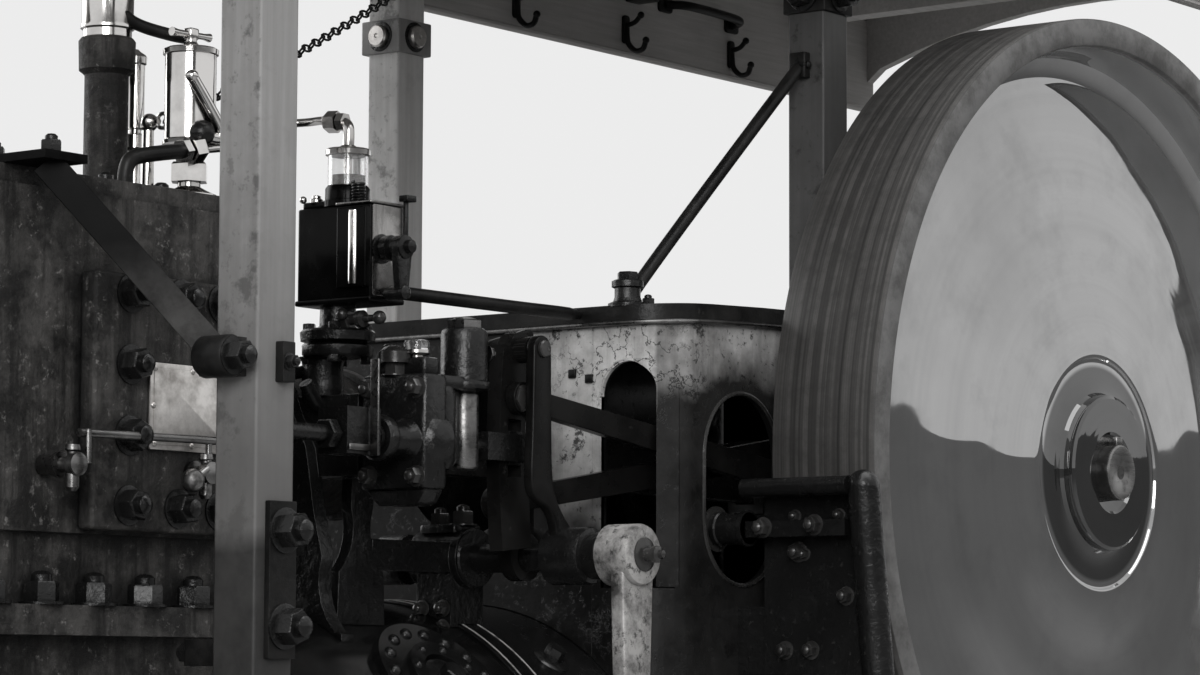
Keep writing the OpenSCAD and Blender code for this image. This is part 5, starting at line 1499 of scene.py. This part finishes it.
class BuildCanopy(EngineStep):
    """Canopy: hooks, handle, gutter beads and straps"""
    bl_idname = "engine.canopy"
    bl_label = "Canopy details"

    def execute(self, context):
        hooks = []
        for x in (153, -151, -467):
            y = BOARD_Y
            hooks.append(pipe([(x, y + 3, 822), (x, y + 5, 802), (x, y + 8, 786),
                               (x - 2, y + 22, 772), (x - 2, y + 38, 774), (x, y + 46, 788)], 6, 5,
                              12))
            hooks.append(pipe([(x, y + 5, 818), (x, y + 22, 822), (x, y + 34, 832)], 6, 4.5, 12))
            hooks.append(slab(rect(x - 9, x + 9, 786, 836, 7), "y", y - 1, y + 5, edge=1.5))
            hooks += [ball((x, y + 46, 788), 6.5, 12), ball((x, y + 35, 833), 6.5, 12)]
        handle = [pipe([(-268, -494, 872), (-282, -468, 870), (-320, -458, 868), (-415, -458, 866),
                        (-452, -468, 865), (-466, -494, 864)], 6, 8, 16),
                  slab(rect(-286, -246, 858, 886, 8), "y", -501, -495, edge=1.5),
                  slab(rect(-488, -448, 850, 878, 8), "y", -501, -495, edge=1.5)]
        piece("canopy_hooks", hooks + handle, "worn_black")
        beads = []
        for y in (511, -510):
            beads.append(sweep([(-936, y, 772), (600, y, 772), (2236, y, 772)], 11.5, 16, 0.5))
        for low, high in ((774, 800), (914, 938)):
            beads.append(slab(rect(-938, 2238, low, high, 3), "y", 520, 525, edge=1.5))
        piece("canopy_beads", beads, "board_paint")
        straps = []
        for x in (-700, -168, 502, 1172, 1832):
            for s in (1, -1):
                straps.append(block(x - 20, x + 20, *sorted((s * 452, s * 498)), 860, 894, 3, 2))
            straps += [rivet((x + d, 522, 850), "y", 7) for d in (-9, 9)]
        piece("canopy_straps", straps, "worn_black")
        return {"FINISHED"}


class BuildBackhead(EngineStep):
    """Backhead: gauge dial, water glass, regulator and firehole trim"""
    bl_idname = "engine.backhead"
    bl_label = "Backhead fittings"

    def execute(self, context):
        x0, gauge_y, gauge_z = -474, -180, -475
        case = lathe((x0, gauge_y, gauge_z), "-x",
                     [(-4, 50), (0, 58), (8, 59), (11, 57), (11, 51), (9, 50)], 56)
        piece("gauge_case", [case], "polished")
        piece("gauge_dial",
              [lathe((x0 - 5, gauge_y, gauge_z), "-x", [(0, 50), (2.5, 50), (3, 2)], 48)],
              "dial_white")
        marks = []
        for a in np.radians(np.arange(-135, 136, 27)):
            u, v = math.sin(a), math.cos(a)
            marks.append(sweep([(x0 - 8, gauge_y - r * u, gauge_z + r * v) for r in (36, 44)], 1.1,
                               6))
        marks.append(sweep([(x0 - 9, -172, -486), (x0 - 9, -200, -450)], [2.2, 0.8], 8))
        piece("gauge_marks", marks, "worn_black")
        glass = hoop((-470, 176, 0), "z", [(-590, 6), (-590, 8.5), (-425, 8.5), (-425, 6)], 24)
        piece("water_glass", [glass], "clear_glass")
        cocks = []
        for z in (-590, -420):
            cocks += [hex_head((-432, 176, z), "-x", 34, 14), ball((-470, 176, z), 15, 20),
                      lathe((-470, 176, z - 16), "z", [(0, 10), (2, 12), (30, 12), (32, 10)], 28),
                      sweep([(-470, 176, z), (-476, 212, z), (-476, 236, z - 4)], 5, 12),
                      ball((-476, 240, z - 5), 8, 16)]
        cocks += [lathe((-430, 0, -415), "-x", [(0, 36), (8, 36), (10, 26), (44, 24), (46, 30),
                                                (60, 30), (62, 14)], 40),
                  ball((-508, -172, -415), 14, 20)]
        piece("backhead_cocks", cocks, "dull_brass")
        nuts = [rivet(p, "-x", 8) for p in around((-449.5, 0, FIREHOLE_Z), "-x", 151, 12, 15)]
        piece("firehole_rivets", nuts, "worn_black")
        door = [rivet((-474, y, FIREHOLE_Z + up), "-x", 8) for y in (-110, -50, 60, 120)
                for up in (40, -40)]
        door.append(ball((-511, -115, FIREHOLE_Z), 16, 20))
        piece("door_rivets", door, "worn_black", "door")
        return {"FINISHED"}


class BuildSpur(EngineStep):
    """Spur wheel: bolts, hub nut and key"""
    bl_idname = "engine.spur"
    bl_label = "Spur wheel"

    def execute(self, context):
        nuts = bolts(around((SECOND_X, -418, SECOND_Z), "-y", 88, 6, 30), "-y", 22, 0, 9)
        nuts += [hex_head((SECOND_X, -443, SECOND_Z), "-y", 62, 14, 8),
                 lathe((SECOND_X, 384, SECOND_Z), "y", [(0, 33), (4, 30), (4, 8), (1, 3)], 40)]
        piece("spur_bolts", nuts, "machined", "second_shaft")
        end = [lathe((0, -499, 0), "-y", [(0, 41), (4, 38), (4, 14), (0, 4)], 40),
               block(-8, 8, -500, -470, 40, 53, 2, 1)]
        piece("pinion_end", end, "machined")
        return {"FINISHED"}


STEPS = [BuildStage, DressFrame, BuildWheel, BuildLift, BuildGuide, BuildWeighshaft,
         BuildCylinder, BuildTop, BuildOiler, BuildCasing, BuildBoiler, BuildPosts,
         BuildGuard, BuildCanopy, BuildBackhead, BuildSpur]


class EnginePanel(bpy.types.Panel):
    """Lists the steps of the build and the sizes"""
    bl_idname = "VIEW3D_PT_engine"
    bl_label = "Engine"
    bl_space_type = "VIEW_3D"
    bl_region_type = "UI"
    bl_category = "Engine"

    def draw(self, context):
        for step in STEPS:
            self.layout.operator(step.bl_idname)
        for name in GROUPS:
            group = getattr(context.scene, name)
            box = self.layout.box()
            for key in group.__annotations__:
                box.prop(group, key)


CLASSES = [*GROUPS.values(), *STEPS, EnginePanel]


def register():
    """Registers the classes and hangs the sizes on the scene."""
    for c in CLASSES:
        bpy.utils.register_class(c)
    for name, group in GROUPS.items():
        setattr(bpy.types.Scene, name, PointerProperty(type=group))


def unregister():
    """Takes the sizes and classes away again."""
    for name in GROUPS:
        delattr(bpy.types.Scene, name)
    for c in reversed(CLASSES):
        bpy.utils.unregister_class(c)


def main():
    """Builds everything in order."""
    register()
    for step in STEPS:
        part, name = step.bl_idname.split(".")
        getattr(getattr(bpy.ops, part), name)()


if __name__ == "__main__":
    main()
